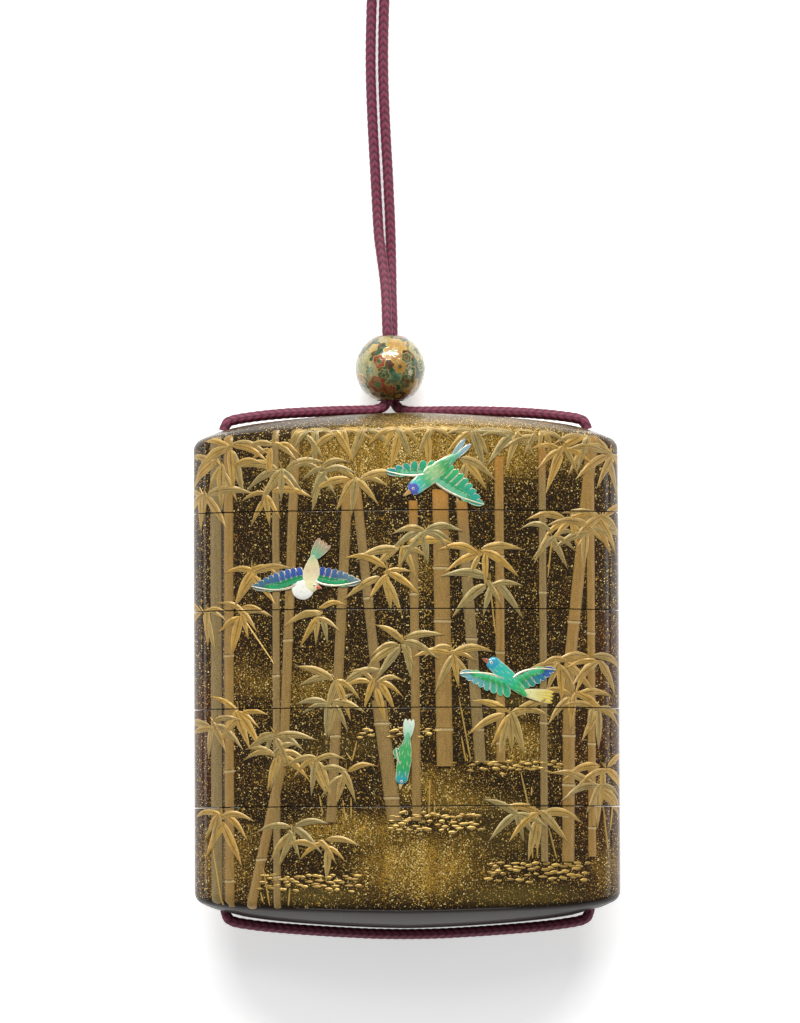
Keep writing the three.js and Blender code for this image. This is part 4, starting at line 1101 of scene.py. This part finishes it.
# Places are x and y and colours are digits of sRGB. Each wing has its shoulder, its tip, how far
# its wrist bows out, the tip of its last feather, how many feathers, and two colours.
BIRDS = {
    "lid_bird": {
        "head": (1.7, 32.4), "rump": (8.6, 37.8), "girth": 3.2, "skull": 1.35,
        "beak": (-0.5, 30.8), "beak_tint": "b98a4a", "head_tint": "5560b4", "eye": (0.0, 0.1),
        "body_tints": ("49c0c4", "4fae7a", "9ec489", "3f9a58", "5cae8a"), "speck": 0.6,
        "tail": (11.2, 40.7), "tail_width": 1.9, "tail_tints": ("6ea9a0", "93a9bd"),
        "tail_count": 2, "covert": "37a069", "second": "6cc09a",
        "wings": [((4.0, 35.0), (-3.6, 35.4), 0.5, (5.0, 37.2), 6, "2fa56e", "2b8e8a"),
                  ((5.4, 33.2), (14.0, 29.3), 0.4, (8.6, 36.3), 8, "36a866", "2f9f8c")]},
    "upper_case_bird": {
        "head": (-17.3, 15.0), "rump": (-16.7, 19.8), "girth": 3.1, "skull": 1.5,
        "beak": (-15.2, 14.3), "beak_tint": "c8503a", "head_tint": "efe6b4", "eye": (0.35, 0.0),
        "breast": (-18.6, 14.3, 2.0, "f6f4ea"),
        "body_tints": ("efe8c4", "e7d9b0", "dcc7a4", "d9cc9c", "b9c49a"), "speck": 0.25,
        "tail": (-14.6, 22.7), "tail_width": 2.9, "tail_tints": ("3fb58c", "b88d78"),
        "tail_count": 4, "covert": "1f8a55", "second": "2aa06a",
        "wings": [((-19.0, 15.6), (-27.8, 14.9), 1.0, (-19.3, 18.2), 9, "3a57a8", "3f6a80"),
                  ((-16.6, 15.8), (-8.2, 15.6), 0.8, (-16.0, 18.2), 8, "2c469c", "5c7c86")]},
    "second_case_bird": {
        "head": (15.7, 0.5), "rump": (20.9, -4.6), "girth": 2.9, "skull": 1.3,
        "beak": (13.5, 1.5), "beak_tint": "a8583a", "head_tint": "3796b4", "eye": (-0.1, 0.05),
        "body_tints": ("37a8b4", "35b8a6", "34b49a", "2fae74", "38a85c"), "speck": 0.35,
        "tail": (26.3, -5.5), "tail_width": 2.4, "tail_tints": ("e2e4b4", "d6b93c"),
        "tail_count": 4, "covert": "2fae5e", "second": "4cc48c",
        "wings": [((18.9, -2.2), (26.8, -0.5), 0.9, (20.9, -4.0), 7, "2f9a68", "2f5f9e"),
                  ((17.4, -2.2), (9.5, -1.2), 0.5, (18.2, -5.5), 8, "33a878", "6aa4b4")]},
    "third_case_bird": {
        "head": (-1.0, -20.3), "rump": (0.1, -12.7), "girth": 2.6, "skull": 0.95,
        "beak": (-1.3, -22.2), "beak_tint": "c9a86a", "head_tint": "2f8fa8", "eye": (0.1, 0.1),
        "body_tints": ("2f9aa0", "2f9a5a", "37a05a", "3fa058", "6ab088"), "speck": 0.5,
        "tail": (0.5, -9.4), "tail_width": 1.9, "tail_tints": ("7cc4a4", "dfe9d8"),
        "tail_count": 3, "covert": "2a9452", "second": "49b070",
        "wings": [((-0.5, -18.6), (-2.0, -14.6), 0.2, (-0.2, -13.6), 4, "2f9a4e", "3a9c6c")]},
}


def tint(*codes):
    """Colours given as digits of sRGB, as rows of linear light."""
    return np.array([paint(code)[:3] for code in codes])


def plumes(root, tip, width, lift, rise, inner, outer, fullness=0.6, skew=0.75, wire=1.0):
    """Feathers from root to tip, (n, 2) each, shaded from inner at the root to outer, with a
    raised wire along the edge of each."""
    t, v = BLADE_ROWS[None], PLUME_ACROSS[None, None]
    step = (tip - root)[:, None, None, :]
    length = np.maximum(np.linalg.norm(step, axis=-1), 1e-6)
    cosine, sine = step[..., 0] / length, step[..., 1] / length
    half = np.asarray(width)[..., None, None] / 2
    half = half * np.clip(np.sin(np.pi * t ** skew), 0.03, 1) ** fullness
    x = root[:, 0, None, None] + cosine * length * t - sine * half * v
    y = root[:, 1, None, None] + sine * length * t + cosine * half * v
    edge = np.clip((np.abs(v) - 0.78) / 0.1, 0, 1) + 0 * t
    height = np.asarray(lift)[..., None, None] + rise * (1 - v ** 2) + 0.05 * edge * wire
    colour = inner + (outer - inner) * t[..., None] + 0 * x[..., None]
    return relief(x, y, height, 0, held=False, tint=colour, wire=edge * wire)


def strand(points, width, height):
    """A thick wire laid along a smooth line through three points."""
    start, middle, end = np.array(points)
    t = np.linspace(0, 1, 24)[:, None]
    bend = 2 * middle - (start + end) / 2
    line = (1 - t) ** 2 * start + 2 * t * (1 - t) * bend + t ** 2 * end
    ahead = unit(np.gradient(line, axis=0))
    half = width / 2 * (1 - 0.5 * t ** 2)
    v = PLUME_ACROSS[None, :]
    x = line[:, :1] - ahead[:, 1:] * half * v
    y = line[:, 1:] + ahead[:, :1] * half * v
    top = height - 0.12 * v ** 2 + 0 * x
    return relief(x[None], y[None], top[None], 1, held=False)


def dome(centre, radius, height, colour, wire=0.0, finish=0):
    """A round boss: at a share s of its radius it is as high as height (1 - 0.55 s^4)."""
    share = np.linspace(1, 0.02, 9)[:, None]
    turn = np.linspace(0, 2 * np.pi, 20, endpoint=False)[None, :]
    x = centre[0] + radius * share * np.cos(turn)
    y = centre[1] + radius * share * np.sin(turn)
    top = over_face(x, y, height * (1 - 0.55 * share ** 4))
    low = over_face(x[:1], y[:1], RELIEF_ROOT)
    points = np.concatenate([low.mean(axis=1, keepdims=True) + 0 * low, low, top,
                             top[-1:].mean(axis=1, keepdims=True) + 0 * low])
    points = points[None]
    return points, finish, {"tint": colour + 0 * points, "wire": wire + 0 * points[..., 0]}


def wing(shoulder, tip, bow, last, count, inner, outer, spec):
    """One wing: feathers whose roots run up the arm to the wrist and on along the hand, and
    whose tips run from the wing's tip to the last one with a swell of sin(pi u)^0.8, then two
    rows of coverts, and a thick pale wire along the leading edge."""
    shoulder, tip, last = (np.array(value) for value in (shoulder, tip, last))
    arm = unit(tip - shoulder)
    away = np.array([-arm[1], arm[0]])
    away = away * np.sign(away @ (shoulder - last))
    wrist = shoulder + 0.42 * (tip - shoulder) + bow * away
    u = np.linspace(0, 1, count)[:, None]
    hand = wrist + (tip - wrist) * 0.25 * np.clip(1 - 2 * u, 0, 1)
    root = np.where(u < 0.5, hand, wrist + (shoulder - wrist) * (2 * u - 1))
    ends = tip + (last - tip) * u - away * 0.7 * np.sin(np.pi * u) ** 0.8
    width = 1.25 * np.linalg.norm(np.gradient(ends, axis=0), axis=1) + 0.15
    width = np.clip(width, 0.75, 1.5)
    low = 0.24 + 0.03 * np.arange(count) / count
    tints = tint(inner, outer)
    share = np.clip(1.2 - 1.3 * u[..., None, None], 0, 1)
    feather = tints[0] + (tints[1] - tints[0]) * share
    made = [plumes(root, ends, width, low, 0.1, feather * 0.6, feather * 1.1, 0.5, 1.3)]
    for row, (reach, colour) in enumerate(((0.42, spec["covert"]), (0.22, spec["second"]))):
        outer_end = root + (ends - root) * reach
        made.append(plumes(root, outer_end, width * 0.95, low + 0.07 + 0.05 * row, 0.08,
                           tint(colour), tint(colour) * 0.75, 0.4, 1.0, 0.35))
    made.append(strand((shoulder, wrist + 0.12 * away, tip), 0.42, 0.5))
    return made


def body(spec):
    """The body as a crowned form from the head to the rump with fine scales, then the head and
    its eye, beak and breast over it."""
    head, rump = np.array(spec["head"]), np.array(spec["rump"])
    t = np.linspace(-0.06, 1.12, 44)[:, None]
    v = np.linspace(-1, 1, 25)[None, :]
    ahead = unit(rump - head)
    stations = (-0.06, 0.0, 0.2, 0.45, 0.7, 0.9, 1.12)
    shape = (0.3, 0.42, 0.46, 0.5, 0.4, 0.28, 0.12)
    half = spec["girth"] * np.interp(t, stations, shape)
    line = head + (rump - head) * t
    x = line[:, :1] - ahead[1] * half * v
    y = line[:, 1:] + ahead[0] * half * v
    height = 0.3 + 0.27 * np.sqrt(1 - 0.9 * v ** 2) - 0.1 * np.clip(t, 0, 1)
    colours = tint(*spec["body_tints"])
    marks = np.linspace(0, 1, len(colours))
    colour = np.stack([np.interp(t[:, 0], marks, channel) for channel in colours.T], axis=-1)
    scale = np.abs(np.sin(13 * t + 0.8 * np.cos(9 * v)) * np.cos(7 * v))
    wire = spec["speck"] * (scale > 0.86) + (np.abs(v) > 0.94)
    made = [relief(x[None], y[None], height[None], 0, held=False,
                   tint=(colour[:, None] + 0 * x[..., None])[None],
                   wire=np.clip(wire, 0, 1)[None])]
    beak = np.array([spec["beak"]])
    made.append(plumes(head[None], beak, np.array([spec["skull"] * 0.75]), np.array([0.3]), 0.1,
                       tint(spec["beak_tint"]), tint(spec["beak_tint"]), 0.7, 0.5, 0.5))
    if "breast" in spec:
        x, y, radius, colour = spec["breast"]
        made.append(dome((x, y), radius, 0.56, tint(colour)[0]))
    made.append(dome(head, spec["skull"], 0.57, tint(spec["head_tint"])[0]))
    eye = head + spec["skull"] * (0.35 * unit(beak[0] - head) + np.array(spec["eye"]) * 0.6)
    made += [dome(eye, 0.4, 0.6, tint(CREAM)[0]), dome(eye, 0.24, 0.62, tint("1c1408")[0])]
    return made


def tail(spec):
    """Narrow feathers fanned from the rump to the tail's end."""
    rump, end = np.array(spec["rump"]), np.array(spec["tail"])
    ahead = unit(end - rump)
    spread = np.linspace(-0.5, 0.5, spec["tail_count"])[:, None] * np.array([-ahead[1], ahead[0]])
    root = rump - 0.4 * ahead + spread * 0.5
    tips = end + spread * (spec["tail_width"] - 0.5)
    tints = tint(*spec["tail_tints"])
    return [plumes(root, tips, np.full(len(tips), 0.95), np.full(len(tips), 0.3), 0.1,
                   tints[0], tints[1], 0.4, 1.2)]


for name, spec in BIRDS.items():
    forms = tail(spec)
    for line in spec["wings"]:
        forms += wing(*line, spec)
    forms += body(spec)
    piece(name + "_enamel", [part(points, number, **values) for points, number, values in forms],
          [ENAMEL, WIRE], name, "enamel", sharp=50)

# ---- floor and light ----
floor = bpy.data.objects.new("floor", bpy.data.meshes.new("floor"))
bpy.context.scene.collection.objects.link(floor)
floor.data.from_pydata([(-4, -4, 0), (4, -4, 0), (4, 4, 0), (-4, 4, 0)], [], [(0, 1, 2, 3)])
pale = Finish("pale_floor")
floor.data.materials.append(pale.surface(
    Base_Color=paint("fbfbfb"), Roughness=0.9, Emission_Color=paint("ffffff"),
    Emission_Strength=0.45))


def light(name, place, target, size, power):
    """A rectangular light at place, facing target, with its sizes in metres."""
    lamp = bpy.data.lights.new(name, "AREA")
    lamp.shape, lamp.size, lamp.size_y, lamp.energy = "RECTANGLE", *size, power
    made = bpy.data.objects.new(name, lamp)
    bpy.context.scene.collection.objects.link(made)
    made.location = place
    turn = Vector(target) - made.location
    made.rotation_euler = turn.to_track_quat("-Z", "Y").to_euler()


world = bpy.data.worlds.new("world")
bpy.context.scene.world = world
world.use_nodes = True
world.node_tree.nodes["Background"].inputs["Color"].default_value = (1, 1, 1, 1)
world.node_tree.nodes["Background"].inputs["Strength"].default_value = 0.12
MIDDLE, LID_END = (0, 0, 0), (0, 0.02, 0)
light("main", (0.0, 1.15, 1.0), LID_END, (1.4, 0.2), 27)
light("broad", (-0.25, 0.85, 1.5), LID_END, (0.7, 0.4), 4)
light("left", (-1.2, 0.0, 0.85), MIDDLE, (0.9, 0.1), 0.4)
light("right", (1.2, 0.0, 0.6), MIDDLE, (0.9, 0.14), 0.4)
# Four low lights in a ring light the sides.
RING_RADIUS, RING_HEIGHT, RING_SIZE = 1.5, 0.5, (1.3, 0.3)
for name, turn, power in (("ring_east", 0, 3), ("ring_north", 90, 2), ("ring_west", 180, 3),
                          ("ring_south", 270, 5)):
    turn = np.radians(turn)
    light(name, (RING_RADIUS * np.cos(turn), RING_RADIUS * np.sin(turn), RING_HEIGHT), MIDDLE,
          RING_SIZE, power)
bpy.context.scene.view_settings.view_transform = "Standard"
